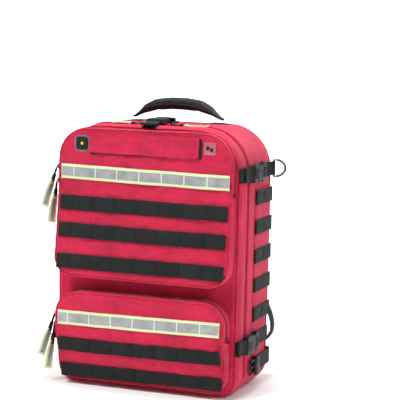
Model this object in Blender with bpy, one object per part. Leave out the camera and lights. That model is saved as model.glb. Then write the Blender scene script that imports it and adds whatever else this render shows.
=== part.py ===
"""Clamshell medical backpack with two zipped front pockets, webbing rows and side-release straps.

Metres, +Z up. The front faces -Y, and the origin is on the ground under the middle of the pack.
Lengths below are in millimetres and are scaled by MM when a mesh is made.
"""

import math

import bpy

MM = 0.001
GAP = 0.3

# Pack body
HALF_WIDTH = 165
HEIGHT = 450
TOP_RADIUS = 76
BOTTOM_RADIUS = 30
ZIP_Y = -45
ZIP_RECESS = 2
LID_FRONT_Y = -84
BACK_Y = 86
WALL = 3
CORNER_STEPS = 6

# Back panel and harness, which lie behind the body
PAD_BACK_Y = 98
STRAP_BACK_Y = 109
SHOULDER_TOP_Z = 430
SHOULDER_END_Z = 180
STERNUM_Z = 330
HIP_Z = 43

# Front pockets: each has a fixed tray below and a zipped flap above
UPPER_BOTTOM, UPPER_SPLIT, UPPER_TOP = 192, 340, 444
LOWER_BOTTOM, LOWER_SPLIT, LOWER_TOP = 10, 100, 166
UPPER_SHALLOW_Y, UPPER_DEEP_Y = -97, -119.5
LOWER_DEEP_Y, LOWER_SHALLOW_Y = -118.5, -97
POCKET_BACK_Y = LID_FRONT_Y - GAP
PATCH_PROUD = 1.4
ID_FLAP_BOTTOM, ID_FLAP_TOP = 403, 437
ID_FLAP_THICKNESS = 2
BAND_THICKNESS = 1.2
UPPER_BAND_Z, LOWER_BAND_Z = 366.5, 124

# Webbing
WEBBING = 25
ROW_PITCH = 50
BACKING = 1.0
ROW_THICKNESS = 1.8
STRAP_THICKNESS = 1.5
SIDE_ROWS = [132 + ROW_PITCH * row for row in range(5)]
UPPER_ROWS = [218, 270, 316]
LOWER_ROWS = [27, 74]
UPPER_STRAP_Z = 376
LOWER_STRAP_Z = 86

# Side-release buckle, measured along the strap, across it and out from the pack
BUCKLE_LENGTH = 40
BUCKLE_WIDTH = 34
BUCKLE_LIFT = 2.3
BUCKLE_THICKNESS = 9
BUCKLE_PLATE = 2
PLUG_LENGTH = 17

# Zip pulls
CORD_RADIUS = 1.1
TAB_HALF_WIDTH = 6
TAB_HALF_THICKNESS = 1.5

# Carry handle
HANDLE_Y = 54
HANDLE_AXIS_Z = HEIGHT + 6.5

MATERIALS = {
    "red_fabric": ((0.62, 0.018, 0.065), 0.85, 0.0),
    "webbing": ((0.018, 0.021, 0.021), 0.9, 0.0),
    "harness_padding": ((0.024, 0.023, 0.024), 0.95, 0.0),
    "reflective_tape": ((0.42, 0.43, 0.42), 0.45, 0.0),
    "black_plastic": ((0.02, 0.021, 0.023), 0.45, 0.0),
    "ring_plastic": ((0.12, 0.125, 0.13), 0.3, 0.0),
    "zip_metal": ((0.035, 0.036, 0.038), 0.35, 0.6),
    "pull_tab": ((0.62, 0.72, 0.16), 0.7, 0.0),
    "mesh": ((0.03, 0.03, 0.032), 0.9, 0.0),
}


def clear_scene():
    for obj in list(bpy.data.objects):
        bpy.data.objects.remove(obj)


def material(slot):
    """The slot's Principled material, made the first time it is asked for."""
    found = bpy.data.materials.get(slot)
    if found:
        return found
    colour, roughness, metallic = MATERIALS[slot]
    made = bpy.data.materials.new(slot)
    made.use_nodes = True
    shader = made.node_tree.nodes["Principled BSDF"]
    shader.inputs["Base Color"].default_value = (*colour, 1)
    shader.inputs["Roughness"].default_value = roughness
    shader.inputs["Metallic"].default_value = metallic
    return made


def solid(name, points, faces, slot, pivot=(0, 0, 0)):
    """One mesh object from points in millimetres, with its origin at pivot and its faces turned outward."""
    mesh = bpy.data.meshes.new(name)
    local = [tuple((p - o) * MM for p, o in zip(point, pivot)) for point in points]
    mesh.from_pydata(local, [], faces)
    mesh.materials.append(material(slot))
    turn_outward(mesh)
    obj = bpy.data.objects.new(name, mesh)
    obj.location = [value * MM for value in pivot]
    bpy.context.scene.collection.objects.link(obj)
    return obj


def turn_outward(mesh):
    """Reverses all faces of a consistently wound closed mesh if its signed volume is negative."""
    mesh.calc_loop_triangles()
    volume = 0
    for triangle in mesh.loop_triangles:
        a, b, c = (mesh.vertices[index].co for index in triangle.vertices)
        volume += a.dot(b.cross(c))
    if volume < 0:
        mesh.flip_normals()


def boolean(target, helper, operation):
    """Joins or cuts target with a helper object, which stays in the scene as a hidden guide."""
    helper.hide_render = True
    helper.display_type = "WIRE"
    modifier = target.modifiers.new(operation.lower(), "BOOLEAN")
    modifier.operation = operation
    modifier.object = helper
    return target


def ring_faces(count, start, end):
    """Quads between two rings of count points that start at the given indices."""
    faces = []
    for i in range(count):
        j = (i + 1) % count
        faces.append((start + i, start + j, end + j, end + i))
    return faces


def loft(rings):
    """Points and faces of a solid that runs through rings of equal length, capped at both ends."""
    count = len(rings[0])
    points = [point for ring in rings for point in ring]
    faces = [tuple(reversed(range(count)))]
    for index in range(len(rings) - 1):
        faces += ring_faces(count, index * count, (index + 1) * count)
    faces.append(tuple(range(len(points) - count, len(points))))
    return points, faces


def tub(outer, inner):
    """Points and faces of a vessel: both ring lists start at the rim and end at the closed side."""
    count = len(outer[0])
    points = [point for ring in outer + inner for point in ring]
    inner_start = len(outer) * count
    faces = []
    for index in range(len(outer) - 1):
        faces += ring_faces(count, index * count, (index + 1) * count)
    faces.append(tuple(range(inner_start - count, inner_start)))
    for index in range(len(inner) - 1):
        start = inner_start + index * count
        faces += [tuple(reversed(face)) for face in ring_faces(count, start, start + count)]
    faces.append(tuple(reversed(range(len(points) - count, len(points)))))
    faces += [tuple(reversed(face)) for face in ring_faces(count, 0, inner_start)]
    return points, faces


def rounded_ring(half_width, bottom, top, bottom_radius, top_radius, depth):
    """A rounded rectangle in XZ, counter-clockwise from the lower right, with depth(z) giving its Y."""
    corners = (
        (half_width - bottom_radius, bottom + bottom_radius, bottom_radius, -90),
        (half_width - top_radius, top - top_radius, top_radius, 0),
        (top_radius - half_width, top - top_radius, top_radius, 90),
        (bottom_radius - half_width, bottom + bottom_radius, bottom_radius, 180),
    )
    ring = []
    for centre_x, centre_z, radius, start in corners:
        for step in range(CORNER_STEPS + 1):
            angle = math.radians(start + 90 * step / CORNER_STEPS)
            z = centre_z + radius * math.sin(angle)
            ring.append((centre_x + radius * math.cos(angle), depth(z), z))
    return ring


def body_ring(y, inset):
    """The pack's front outline at depth y, drawn in by inset on every side."""
    return rounded_ring(
        HALF_WIDTH - inset,
        inset,
        HEIGHT - inset,
        BOTTOM_RADIUS - inset / 2,
        TOP_RADIUS - inset / 2,
        lambda z: y,
    )


def prism(outline, place, low, high):
    """Extrudes a closed 2D outline: place(a, b, c) turns outline and height values into a point."""
    rings = [[place(a, b, height) for a, b in outline] for height in (low, high)]
    return loft(rings)


def along_x(y, z, x):
    return x, y, z


def along_y(x, z, y):
    return x, y, z


def along_z(x, y, z):
    return x, y, z


def box(name, x, y, z, slot, pivot=(0, 0, 0)):
    """A rectangular block from (low, high) pairs."""
    outline = [(x[0], y[0]), (x[1], y[0]), (x[1], y[1]), (x[0], y[1])]
    return solid(name, *prism(outline, along_z, *z), slot, pivot)


def ribbon_outline(path, thickness):
    """The closed outline of a strap of even thickness that follows a 2D path."""
    left, right = [], []
    for index, (a, b) in enumerate(path):
        before = path[max(index - 1, 0)]
        after = path[min(index + 1, len(path) - 1)]
        run = math.hypot(after[0] - before[0], after[1] - before[1])
        across = ((before[1] - after[1]) / run, (after[0] - before[0]) / run)
        left.append((a + across[0] * thickness / 2, b + across[1] * thickness / 2))
        right.append((a - across[0] * thickness / 2, b - across[1] * thickness / 2))
    return left + right[::-1]


def ribbon(name, path, place, low, high, slot, pivot=(0, 0, 0), thickness=STRAP_THICKNESS):
    outline = ribbon_outline(path, thickness)
    return solid(name, *prism(outline, place, low, high), slot, pivot)


def tube(name, points, radius, cyclic, slot, pivot=(0, 0, 0), sides=2):
    """A round cord or wire along points, as a curve with a bevel and filled caps."""
    curve = bpy.data.curves.new(name, "CURVE")
    curve.dimensions = "3D"
    curve.bevel_depth = radius * MM
    curve.bevel_resolution = sides
    curve.use_fill_caps = True
    spline = curve.splines.new("POLY")
    spline.points.add(len(points) - 1)
    for target, point in zip(spline.points, points):
        target.co = (*[(p - o) * MM for p, o in zip(point, pivot)], 1)
    spline.use_cyclic_u = cyclic
    curve.materials.append(material(slot))
    obj = bpy.data.objects.new(name, curve)
    obj.location = [value * MM for value in pivot]
    bpy.context.scene.collection.objects.link(obj)
    return obj


def as_mesh(obj):
    """Replaces a curve object with a mesh object of the same name and place, so that Booleans can use it."""
    graph = bpy.context.evaluated_depsgraph_get()
    mesh = bpy.data.meshes.new_from_object(obj.evaluated_get(graph), depsgraph=graph)
    made = bpy.data.objects.new("mesh_of_" + obj.name, mesh)
    made.location = obj.location
    name = obj.name
    bpy.data.objects.remove(obj)
    made.name = name
    bpy.context.scene.collection.objects.link(made)
    return made


def empty(name, location):
    made = bpy.data.objects.new(name, None)
    made.location = [value * MM for value in location]
    bpy.context.scene.collection.objects.link(made)
    return made


def parent(child, holder):
    """Parents child without moving it."""
    child.parent = holder
    child.matrix_parent_inverse.translation = -holder_place(holder)


def holder_place(holder):
    """Where a holder is in the world: nothing here is rotated, so its own and its parents' places add up."""
    place = holder.location.copy()
    if holder.parent:
        place += holder.matrix_parent_inverse.translation + holder_place(holder.parent)
    return place


# The body: a rear shell that the back sits on, and a lid shell that opens on the zip


def rear_shell():
    outer = [(ZIP_Y + GAP, ZIP_RECESS), (0, 0), (66, 0), (80, 4), (BACK_Y, 12)]
    inner = [(ZIP_Y + GAP, ZIP_RECESS + WALL), (0, WALL), (66, WALL), (78, 6), (BACK_Y - WALL, 14)]
    points, faces = tub([body_ring(*s) for s in outer], [body_ring(*s) for s in inner])
    return solid("rear_shell", points, faces, "red_fabric")


def lid_shell(pivot):
    outer = [(ZIP_Y - GAP, ZIP_RECESS), (-58, 0), (-70, 0.5), (-80, 4), (LID_FRONT_Y, 9)]
    inner = [(ZIP_Y - GAP, ZIP_RECESS + WALL), (-58, WALL), (-70, WALL + 0.5), (LID_FRONT_Y + WALL, 10)]
    points, faces = tub([body_ring(*s) for s in outer], [body_ring(*s) for s in inner])
    return solid("lid_shell", points, faces, "red_fabric", pivot)


def lid_mesh_pocket(pivot):
    """An open-topped sleeve on the inside of the lid."""
    front_y = LID_FRONT_Y + WALL + GAP
    pouch = box("lid_mesh_pocket", (-140, 140), (front_y, front_y + 14), (60, 250), "mesh", pivot)
    hollow = box("hollow_of_lid_pocket", (-138, 138), (front_y + 1.5, front_y + 12.5), (62, 260), "mesh")
    return boolean(pouch, hollow, "DIFFERENCE")


def divider_shelf(pivot):
    """A padded shelf across the main compartment, which folds up against the back."""
    return box("divider_shelf", (-158, 158), (-30, pivot[1]), (pivot[2] - 6, pivot[2]), "mesh", pivot)


# Front pockets


def upper_face_y(z):
    """The upper pocket's face: upright on the flap, then leaning out towards its bottom edge."""
    share = (UPPER_SPLIT - z) / (UPPER_SPLIT - UPPER_BOTTOM)
    return UPPER_SHALLOW_Y + max(share, 0) * (UPPER_DEEP_Y - UPPER_SHALLOW_Y)


def lower_face_y(z):
    """The lower pocket's face: fullest on the flap, then leaning back towards the ground."""
    share = (LOWER_SPLIT - z) / (LOWER_SPLIT - LOWER_BOTTOM)
    return LOWER_DEEP_Y + max(share, 0) * (LOWER_SHALLOW_Y - LOWER_DEEP_Y)


def pocket_ring(half_width, low, high, radii, inset, face_y, share):
    """One ring of a pocket: low and high are (z, whether that edge is rounded in with inset)."""
    bottom = low[0] + (inset if low[1] else 0)
    top = high[0] - (inset if high[1] else 0)

    def depth(z):
        return POCKET_BACK_Y + share * (face_y(z) - POCKET_BACK_Y)

    return rounded_ring(half_width - inset, bottom, top, *radii, depth)


def pocket_solid(name, half_width, low, high, radii, face_y, pivot, wall=2.5):
    """A pocket part with a hollow that is open to the lid or to the part it meets at its plain edge."""
    sections = ((0, 0), (2, 0.75), (7, 1))
    rings = [pocket_ring(half_width, low, high, radii, inset, face_y, share) for inset, share in sections]
    shell = solid(name, *loft(rings), "red_fabric", pivot)
    inner_low = (low[0] + wall, True) if low[1] else (low[0] - 10, False)
    inner_high = (high[0] - wall, True) if high[1] else (high[0] + 10, False)

    def inner_face(z):
        return face_y(z) + wall

    hollow_rings = [
        pocket_ring(half_width - wall, inner_low, inner_high, radii, inset, inner_face, share)
        for inset, share in ((0, -0.6 if high[1] else 0.14), (6, 1))
    ]
    hollow = solid("hollow_of_" + name, *loft(hollow_rings), "red_fabric")
    return boolean(shell, hollow, "DIFFERENCE")


def upper_pocket(pivot):
    low, high = (UPPER_BOTTOM, True), (UPPER_SPLIT - GAP, False)
    return pocket_solid("upper_pocket", 156, low, high, (34, 0.5), upper_face_y, pivot)


def upper_flap(pivot):
    """The flap, with the raised emblem patch and square patch that are sewn on beside the ID panel."""
    low, high = (UPPER_SPLIT + GAP, False), (UPPER_TOP, True)
    flap = pocket_solid("upper_flap", 158, low, high, (0.5, 50), lambda z: UPPER_SHALLOW_Y, pivot)
    face = UPPER_SHALLOW_Y
    proud = (face - PATCH_PROUD, face + 1)
    emblem = box("raised_emblem_patch", (-126, -102), proud, (405, 428), "red_fabric")
    square = box("raised_square_patch", (105, 126), proud, (409, 430), "red_fabric")
    return boolean(boolean(flap, emblem, "UNION"), square, "UNION")


def lower_pocket(pivot):
    low, high = (LOWER_BOTTOM, True), (LOWER_SPLIT - GAP, False)
    return pocket_solid("lower_pocket", 152, low, high, (30, 0.5), lower_face_y, pivot)


def lower_flap(pivot):
    low, high = (LOWER_SPLIT + GAP, False), (LOWER_TOP, True)
    return pocket_solid("lower_flap", 153, low, high, (0.5, 42), lambda z: LOWER_DEEP_Y, pivot)


def id_flap(pivot):
    """A flat cover over the ID window, hung from its top edge."""
    back = UPPER_SHALLOW_Y - GAP
    return box("id_flap", (-100, 98), (pivot[1], back), (ID_FLAP_BOTTOM, pivot[2]), "red_fabric", pivot)


def reflective_band(name, half_width, face_y, centre_z, pivot):
    y = (face_y - GAP - BAND_THICKNESS, face_y - GAP)
    z = (centre_z - WEBBING / 2, centre_z + WEBBING / 2)
    return box(name, (-half_width, half_width), y, z, "reflective_tape", pivot)


def comb_outline(rows, low, high, lift):
    """The side profile of webbing rows sewn on a backing: (distance out, height) pairs over lift(z)."""
    outline = [(lift(low), low), (lift(low) + BACKING, low)]
    for centre in sorted(rows):
        for z, rise in ((centre - WEBBING / 2, (0, 1)), (centre + WEBBING / 2, (1, 0))):
            outline += [(lift(z) + BACKING + ROW_THICKNESS * step, z) for step in rise]
    return outline + [(lift(high) + BACKING, high), (lift(high), high)]


def front_webbing(name, rows, face_y, half_width, low, high, pivot):
    outline = comb_outline(rows, low, high, lambda z: GAP - face_y(z))
    points = prism([(-out, z) for out, z in outline], along_x, -half_width, half_width)
    return solid(name, *points, "webbing", pivot)


# Straps and buckles. A strap place maps (back along the strap, across it, out from the pack).


def side_place(side, z):
    return lambda along, across, out: (side * (HALF_WIDTH + out), along, z + across)


def top_place(along, across, out):
    return across, along, HEIGHT + out


def buckle_waist(along):
    """Half width of a socket at a distance from its closed end, with the finger notches."""
    if not 12 < along < 34:
        return BUCKLE_WIDTH / 2
    return BUCKLE_WIDTH / 2 - 4.5 * math.sin(math.pi * (along - 12) / 22)


def buckle_socket(name, place, closed_y):
    """A socket of two plates joined at the strap end, with its mouth and sides open."""
    stations = [0, 12, 16, 20, 26, 30, 34, BUCKLE_LENGTH]
    right = [(closed_y - along, buckle_waist(along)) for along in stations]
    left = [(y, -across) for y, across in reversed(right)]
    low, high = BUCKLE_LIFT, BUCKLE_LIFT + BUCKLE_THICKNESS
    socket = solid(name, *prism(right + left, place, low, high), "black_plastic")
    mouth_y, throat_y = closed_y - BUCKLE_LENGTH - 1, closed_y - 6
    slot = [(throat_y, -20), (throat_y, 20), (mouth_y, 20), (mouth_y, -20)]
    points = prism(slot, place, low + BUCKLE_PLATE, high - BUCKLE_PLATE)
    return boolean(socket, solid("slot_of_" + name, *points, "black_plastic"), "DIFFERENCE")


def buckle_plug(name, place, closed_y, pivot=(0, 0, 0)):
    """A plug: a solid shoulder in front of the mouth, two sprung arms and a centre guide inside the slot."""
    mouth_y = closed_y - BUCKLE_LENGTH - GAP
    shoulder = [(mouth_y, -16), (mouth_y, 16), (mouth_y - PLUG_LENGTH, 14.5), (mouth_y - PLUG_LENGTH, -14.5)]
    low, high = BUCKLE_LIFT, BUCKLE_LIFT + BUCKLE_THICKNESS
    plug = solid(name, *prism(shoulder, place, low, high), "black_plastic", pivot)
    root_y, tip_y = mouth_y - 6, closed_y - 14
    arm = [(root_y, 12), (mouth_y + 8, 11.5), (mouth_y + 14, 14), (tip_y - 2, 12.5), (tip_y, 9)]
    arm += [(tip_y - 6, 8.5), (mouth_y + 2, 8), (mouth_y + 2, 2.5), (tip_y, 2)]
    fork = arm + [(y, -across) for y, across in reversed(arm)]
    clearance = 0.5
    points = prism(fork, place, low + BUCKLE_PLATE + clearance, high - BUCKLE_PLATE - clearance)
    return boolean(plug, solid("fork_of_" + name, *points, "black_plastic"), "UNION")


def side_front_strap(name, side, z, rear_y, pivot):
    """Webbing sewn into the lid's front seam, which lies along its side as far as the buckle."""
    out = HALF_WIDTH + 0.4 + STRAP_THICKNESS / 2
    path = [(side * x, y) for x, y in ((161.6, -81), (164.6, -76), (out, -69), (out, rear_y))]
    return ribbon(name, path, along_z, z - WEBBING / 2, z + WEBBING / 2, "webbing", pivot)


def top_front_strap(pivot):
    out = HEIGHT + 0.4 + STRAP_THICKNESS / 2
    path = [(-82, HEIGHT - 3.4), (-76, HEIGHT - 0.4), (-69, out), (-43, out)]
    return ribbon("top_front_strap", path, along_x, -WEBBING / 2, WEBBING / 2, "webbing", pivot)


def top_rear_strap():
    out = (HEIGHT + 0.4, HEIGHT + 0.4 + STRAP_THICKNESS)
    return box("top_rear_strap", (-WEBBING / 2, WEBBING / 2), (-32, 22), out, "webbing")


RING_AXIS_OUT = 5.2
RING_AXIS_Y = 77


def side_webbing(name, side):
    """Webbing rows, both rear strap ends and the loop that holds the D-ring, sewn together as one panel."""
    rows = comb_outline(SIDE_ROWS, 117, 347, lambda z: GAP)
    outline = [(side * (HALF_WIDTH + out), z) for out, z in rows]
    panel = solid(name, *prism(outline, along_y, -6, 76), "webbing")

    def block(label, out, y, z):
        x = sorted(side * (HALF_WIDTH + value) for value in out)
        return box(f"{label}_of_{name}", x, y, z, "webbing")

    half = WEBBING / 2
    blocks = [
        block("spine", (0.5, 1.1), (32, 64), (LOWER_STRAP_Z, UPPER_STRAP_Z)),
        block("upper_strap", (0.4, 1.9), (-12, 79), (UPPER_STRAP_Z - half, UPPER_STRAP_Z + half)),
        block("lower_strap", (0.4, 1.9), (-28, 75), (LOWER_STRAP_Z - half, LOWER_STRAP_Z + half)),
        ring_sleeve("loop_of_" + name, side, 4.4, 11),
    ]
    for piece in blocks:
        boolean(panel, piece, "UNION")
    return boolean(panel, ring_sleeve("bore_of_" + name, side, 3.0, 20), "DIFFERENCE")


def ring_sleeve(name, side, radius, half_height, sides=12):
    """An upright cylinder on a D-ring's axis."""
    centre_x = side * (HALF_WIDTH + RING_AXIS_OUT)
    turns = [2 * math.pi * (step + 0.5) / sides for step in range(sides)]
    outline = [(centre_x + radius * math.cos(t), RING_AXIS_Y + radius * math.sin(t)) for t in turns]
    z = (UPPER_STRAP_Z - half_height, UPPER_STRAP_Z + half_height)
    return solid(name, *prism(outline, along_z, *z), "webbing")


def d_ring(name, side):
    """A D-shaped ring whose straight bar turns in the strap's loop."""
    pivot = (side * (HALF_WIDTH + RING_AXIS_OUT), RING_AXIS_Y, UPPER_STRAP_Z)
    half_height, reach, rake = 14.3, 20, math.radians(20)
    profile = [(0, -half_height), (0, half_height)]
    for step in range(1, 10):
        angle = math.pi * (0.5 - step / 10)
        profile.append((3 + (reach - 3) * math.cos(angle), half_height * math.sin(angle)))
    points = []
    for out, up in profile:
        x = pivot[0] + side * out * math.cos(rake)
        points.append((x, pivot[1] + out * math.sin(rake), pivot[2] + up))
    return tube(name, points, 2.2, True, "ring_plastic", pivot)


# Carry handle


def handle_section(x, z, tilt, half_depth, half_thickness):
    """An eight-sided flat section across the grip, square to its path."""
    section = []
    for step in range(8):
        angle = math.pi * (step + 0.5) / 4
        y = HANDLE_Y + half_depth * max(-1, min(1, 1.15 * math.cos(angle)))
        rise = half_thickness * max(-1, min(1, 1.3 * math.sin(angle)))
        section.append((x - rise * math.sin(tilt), y, z + rise * math.cos(tilt)))
    return section


# Half the grip, from its end to its middle: distance from the middle, rise, half depth and half thickness
GRIP = ((86, 0, 6, 2), (79, 2, 9, 2), (70, 8, 13, 2.5), (58, 16.5, 16, 6), (40, 24, 16, 8), (15, 27.5, 16, 8))


def carry_handle(pivot):
    """A padded grip that arches between two narrow ends on the roof."""
    stations = [(-x, *rest) for x, *rest in GRIP] + [(x, *rest) for x, *rest in reversed(GRIP)]
    rings = []
    for index, (x, rise, half_depth, half_thickness) in enumerate(stations):
        before = stations[max(index - 1, 0)]
        after = stations[min(index + 1, len(stations) - 1)]
        tilt = math.atan2(after[1] - before[1], after[0] - before[0])
        rings.append(handle_section(x, HANDLE_AXIS_Z + rise, tilt, half_depth, half_thickness))
    return solid("carry_handle", *loft(rings), "harness_padding", pivot)


# Back panel and harness


def plate_ring(centre_x, half_width, low_y, high_y, z, chamfer):
    """A chamfered rectangle in XY at height z."""
    left, right = centre_x - half_width, centre_x + half_width
    return [
        (left + chamfer, low_y, z),
        (right - chamfer, low_y, z),
        (right, low_y + chamfer, z),
        (right, high_y - chamfer, z),
        (right - chamfer, high_y, z),
        (left + chamfer, high_y, z),
        (left, high_y - chamfer, z),
        (left, low_y + chamfer, z),
    ]


def back_pad():
    """Two padded columns joined by a thinner middle, rounded at both ends."""
    front, back, valley = BACK_Y + GAP, PAD_BACK_Y, 91
    outline = [(140, front), (148, front + 5), (140, back), (40, back), (24, valley)]
    outline += [(-x, y) for x, y in reversed(outline)]
    rings = []
    for z, draw_in in ((24, 0.9), (34, 1), (410, 1), (424, 0.88)):
        rings.append([(x * draw_in, y, z) for x, y in outline])
    return solid("back_pad", *loft(rings), "harness_padding")


def shoulder_centre(z):
    """How far the shoulder pad's middle is from the pack's middle: it swings out as it goes down."""
    share = (SHOULDER_TOP_Z - z) / (SHOULDER_TOP_Z - SHOULDER_END_Z)
    return 62 + 64 * share**1.4


def shoulder_strap(name, side, pivot):
    rings = []
    for z, half_width in ((430, 27), (380, 31), (330, 32), (270, 31), (220, 27), (SHOULDER_END_Z, 18)):
        centre = side * shoulder_centre(z)
        rings.append(plate_ring(centre, half_width, PAD_BACK_Y + GAP, STRAP_BACK_Y, z, 3))
    return solid(name, *loft(rings), "harness_padding", pivot)


def ladder_lock(name, side, pivot):
    """The strap adjuster at the end of a shoulder pad."""
    centre = side * shoulder_centre(SHOULDER_END_Z)
    y = (PAD_BACK_Y + 3, PAD_BACK_Y + 8)
    high = SHOULDER_END_Z - GAP
    lock = box(name, (centre - 16, centre + 16), y, (high - 20, high), "black_plastic", pivot)
    slot = (centre - 12.5, centre + 12.5)
    opening = box("slot_of_" + name, slot, (y[0] - 2, y[1] + 2), (high - 16, high - 9), "black_plastic")
    return boolean(lock, opening, "DIFFERENCE")


def shoulder_webbing(name, side, pivot):
    """The slack webbing that bows out from the adjuster to the pack's lower corner."""
    path = ((128, 157), (145, 143), (160, 120), (168, 93), (164, 72), (150, 59))
    mirrored = [(side * x, z) for x, z in path]
    return ribbon(name, mirrored, along_y, PAD_BACK_Y + 0.6, PAD_BACK_Y + 22.6, "webbing", pivot)


def sternum_strap(name, side):
    x = sorted((side * 20.4, side * 100))
    y = (STRAP_BACK_Y + GAP, STRAP_BACK_Y + GAP + STRAP_THICKNESS)
    return box(name, x, y, (STERNUM_Z - 10, STERNUM_Z + 10), "webbing", (side * 77, y[0], STERNUM_Z))


def sternum_buckle():
    outline = [(-20, -9), (-14, -13), (-6, -13), (0, -10.5), (6, -13), (14, -13), (20, -9)]
    outline += [(x, -z) for x, z in reversed(outline)]
    placed = [(x, STERNUM_Z + z) for x, z in outline]
    y = (STRAP_BACK_Y + GAP, STRAP_BACK_Y + 8)
    return solid("sternum_buckle", *prism(placed, along_y, *y), "black_plastic", (0, y[0], STERNUM_Z))


def hip_strap(name, side, pivot):
    """A hip strap folded forward along the side of the pack."""
    path = ((158, 99), (166, 95), (169.5, 84), (169.8, 62), (169.8, 14))
    mirrored = [(side * x, y) for x, y in path]
    z = (HIP_Z - WEBBING / 2, HIP_Z + WEBBING / 2)
    return ribbon(name, mirrored, along_z, *z, "webbing", pivot)


# Zip sliders and pulls


def zip_slider(name, x, y, z, pivot):
    """A small slider with its edges chamfered, from (low, high) pairs."""
    slider = box(name, x, y, z, "zip_metal", pivot)
    bevel = slider.modifiers.new("rounding", "BEVEL")
    bevel.width = 1.4 * MM
    bevel.segments = 1
    return slider


def zip_pull(name, pivot, direction, flat, cord, tab):
    """A cord loop and a tape tab that run from pivot along direction, with the tab's width along Y."""
    dx, dz = direction

    def at(along, aside, across=0):
        x = pivot[0] + dx * along + dz * across
        return x, pivot[1] + aside, pivot[2] + dz * along - dx * across

    half_width = TAB_HALF_WIDTH
    corners = [(cord, -half_width), (cord, half_width), (cord + tab, half_width), (cord + tab, -half_width)]
    rings = [[at(a, b, side) for a, b in corners] for side in (-TAB_HALF_THICKNESS, TAB_HALF_THICKNESS)]
    pull = solid(name, *loft(rings), "pull_tab", pivot)
    half_loop = [(cord + 3, 3.2), (cord * 0.5, 3.2), (2, flat)]
    loop = [(a, -b) for a, b in half_loop] + [(0.5, 0)] + half_loop[::-1]
    path = [at(a, b) for a, b in loop]
    cord_loop = as_mesh(tube("cord_of_" + name, path, CORD_RADIUS, False, "pull_tab", sides=1))
    return boolean(pull, cord_loop, "UNION")


def build_side_straps(lid):
    """The four compression straps: sockets stay on the rear shell, and plugs slide on the lid's webbing."""
    for side, side_name in ((-1, "left"), (1, "right")):
        for level, z, closed_y in (("upper", UPPER_STRAP_Z, 16), ("lower", LOWER_STRAP_Z, 2)):
            label = f"{level}_{side_name}"
            place = side_place(side, z)
            mouth_y = closed_y - BUCKLE_LENGTH - GAP
            pivot = (side * (HALF_WIDTH + BUCKLE_LIFT), mouth_y, z)
            buckle_socket(f"buckle_socket_{label}", place, closed_y)
            parent(buckle_plug(f"buckle_plug_{label}", place, closed_y, pivot), lid)
            parent(side_front_strap(f"front_strap_{label}", side, z, mouth_y - 2, lid_pivot()), lid)


def build_top_strap(lid):
    closed_y = 0
    mouth_y = closed_y - BUCKLE_LENGTH - GAP
    top_rear_strap()
    buckle_socket("buckle_socket_top", top_place, closed_y)
    pivot = (0, mouth_y, HEIGHT + BUCKLE_LIFT)
    parent(buckle_plug("buckle_plug_top", top_place, closed_y, pivot), lid)
    parent(top_front_strap(lid_pivot()), lid)


def lid_pivot():
    """The lid opens about the lower edge of the zip plane, where its fabric is uncut."""
    return 0, ZIP_Y, 0


def build_lid():
    lid = empty("lid_hinge", lid_pivot())
    for piece in (lid_shell(lid_pivot()), lid_mesh_pocket(lid_pivot())):
        parent(piece, lid)
    build_upper_pocket(lid)
    build_lower_pocket(lid)
    build_side_straps(lid)
    build_top_strap(lid)
    build_pocket_pulls(lid)


def build_upper_pocket(lid):
    hinge = (0, UPPER_SHALLOW_Y, UPPER_SPLIT + GAP)
    flap_hinge = empty("upper_flap_hinge", hinge)
    parent(flap_hinge, lid)
    parent(upper_pocket(lid_pivot()), lid)
    rows = front_webbing("upper_webbing_rows", UPPER_ROWS, upper_face_y, 146, 202, 332, lid_pivot())
    parent(rows, lid)
    parent(upper_flap(hinge), flap_hinge)
    parent(reflective_band("upper_reflective_band", 151, UPPER_SHALLOW_Y, UPPER_BAND_Z, hinge), flap_hinge)
    cover_pivot = (0, UPPER_SHALLOW_Y - GAP - ID_FLAP_THICKNESS, ID_FLAP_TOP)
    parent(id_flap(cover_pivot), flap_hinge)


def build_lower_pocket(lid):
    hinge = (0, LOWER_DEEP_Y - GAP - BAND_THICKNESS, LOWER_SPLIT + GAP)
    flap_hinge = empty("lower_flap_hinge", hinge)
    parent(flap_hinge, lid)
    parent(lower_pocket(lid_pivot()), lid)
    rows = front_webbing("lower_webbing_rows", LOWER_ROWS, lower_face_y, 142, 15, 92, lid_pivot())
    parent(rows, lid)
    parent(lower_flap(hinge), flap_hinge)
    parent(reflective_band("lower_reflective_band", 145, LOWER_DEEP_Y, LOWER_BAND_Z, hinge), flap_hinge)


def build_pocket_pulls(lid):
    """Two sliders on each pocket zip, parked on the left edge, whose pulls lean out by different amounts."""
    upper = [("upper_zip_a", 158.6, -88, 376, 19, 24, 50), ("upper_zip_b", 158.6, -88, 352, 8, 24, 50)]
    lower = [("lower_zip_a", 154.2, -101, 124, 19, 30, 52), ("lower_zip_b", 154.2, -101, 108, 9, 34, 52)]
    for label, x, y, z, lean, cord, tab in upper + lower:
        direction = (-math.sin(math.radians(lean)), -math.cos(math.radians(lean)))
        slider = zip_slider(f"slider_{label}", (-x - 5, -x), (y - 3.4, y + 3.4), (z - 6, z + 6), (-x, y, z))
        pull = zip_pull(f"pull_{label}", (-x - 6.8, y, z), direction, 2, cord, tab)
        parent(slider, lid)
        parent(pull, slider)


def build_main_pulls():
    """The two main sliders, parked on the roof on either side of the top strap, with pulls that lie flat."""
    start = 24
    for label, side, cord, tab in (("main_zip_left", -1, 8, 34), ("main_zip_right", 1, 12, 42)):
        x = sorted((side * start, side * (start + 12)))
        centre = (side * (start + 6), ZIP_Y, HEIGHT - ZIP_RECESS + 1.5)
        z = (centre[2], centre[2] + 4.5)
        slider = zip_slider(f"slider_{label}", x, (ZIP_Y - 4, ZIP_Y + 4), z, centre)
        pivot = (side * (start + 13.8), ZIP_Y, z[0] + 2.6)
        pull = zip_pull(f"pull_{label}", pivot, (side, 0), 2, cord, tab)
        parent(pull, slider)


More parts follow.
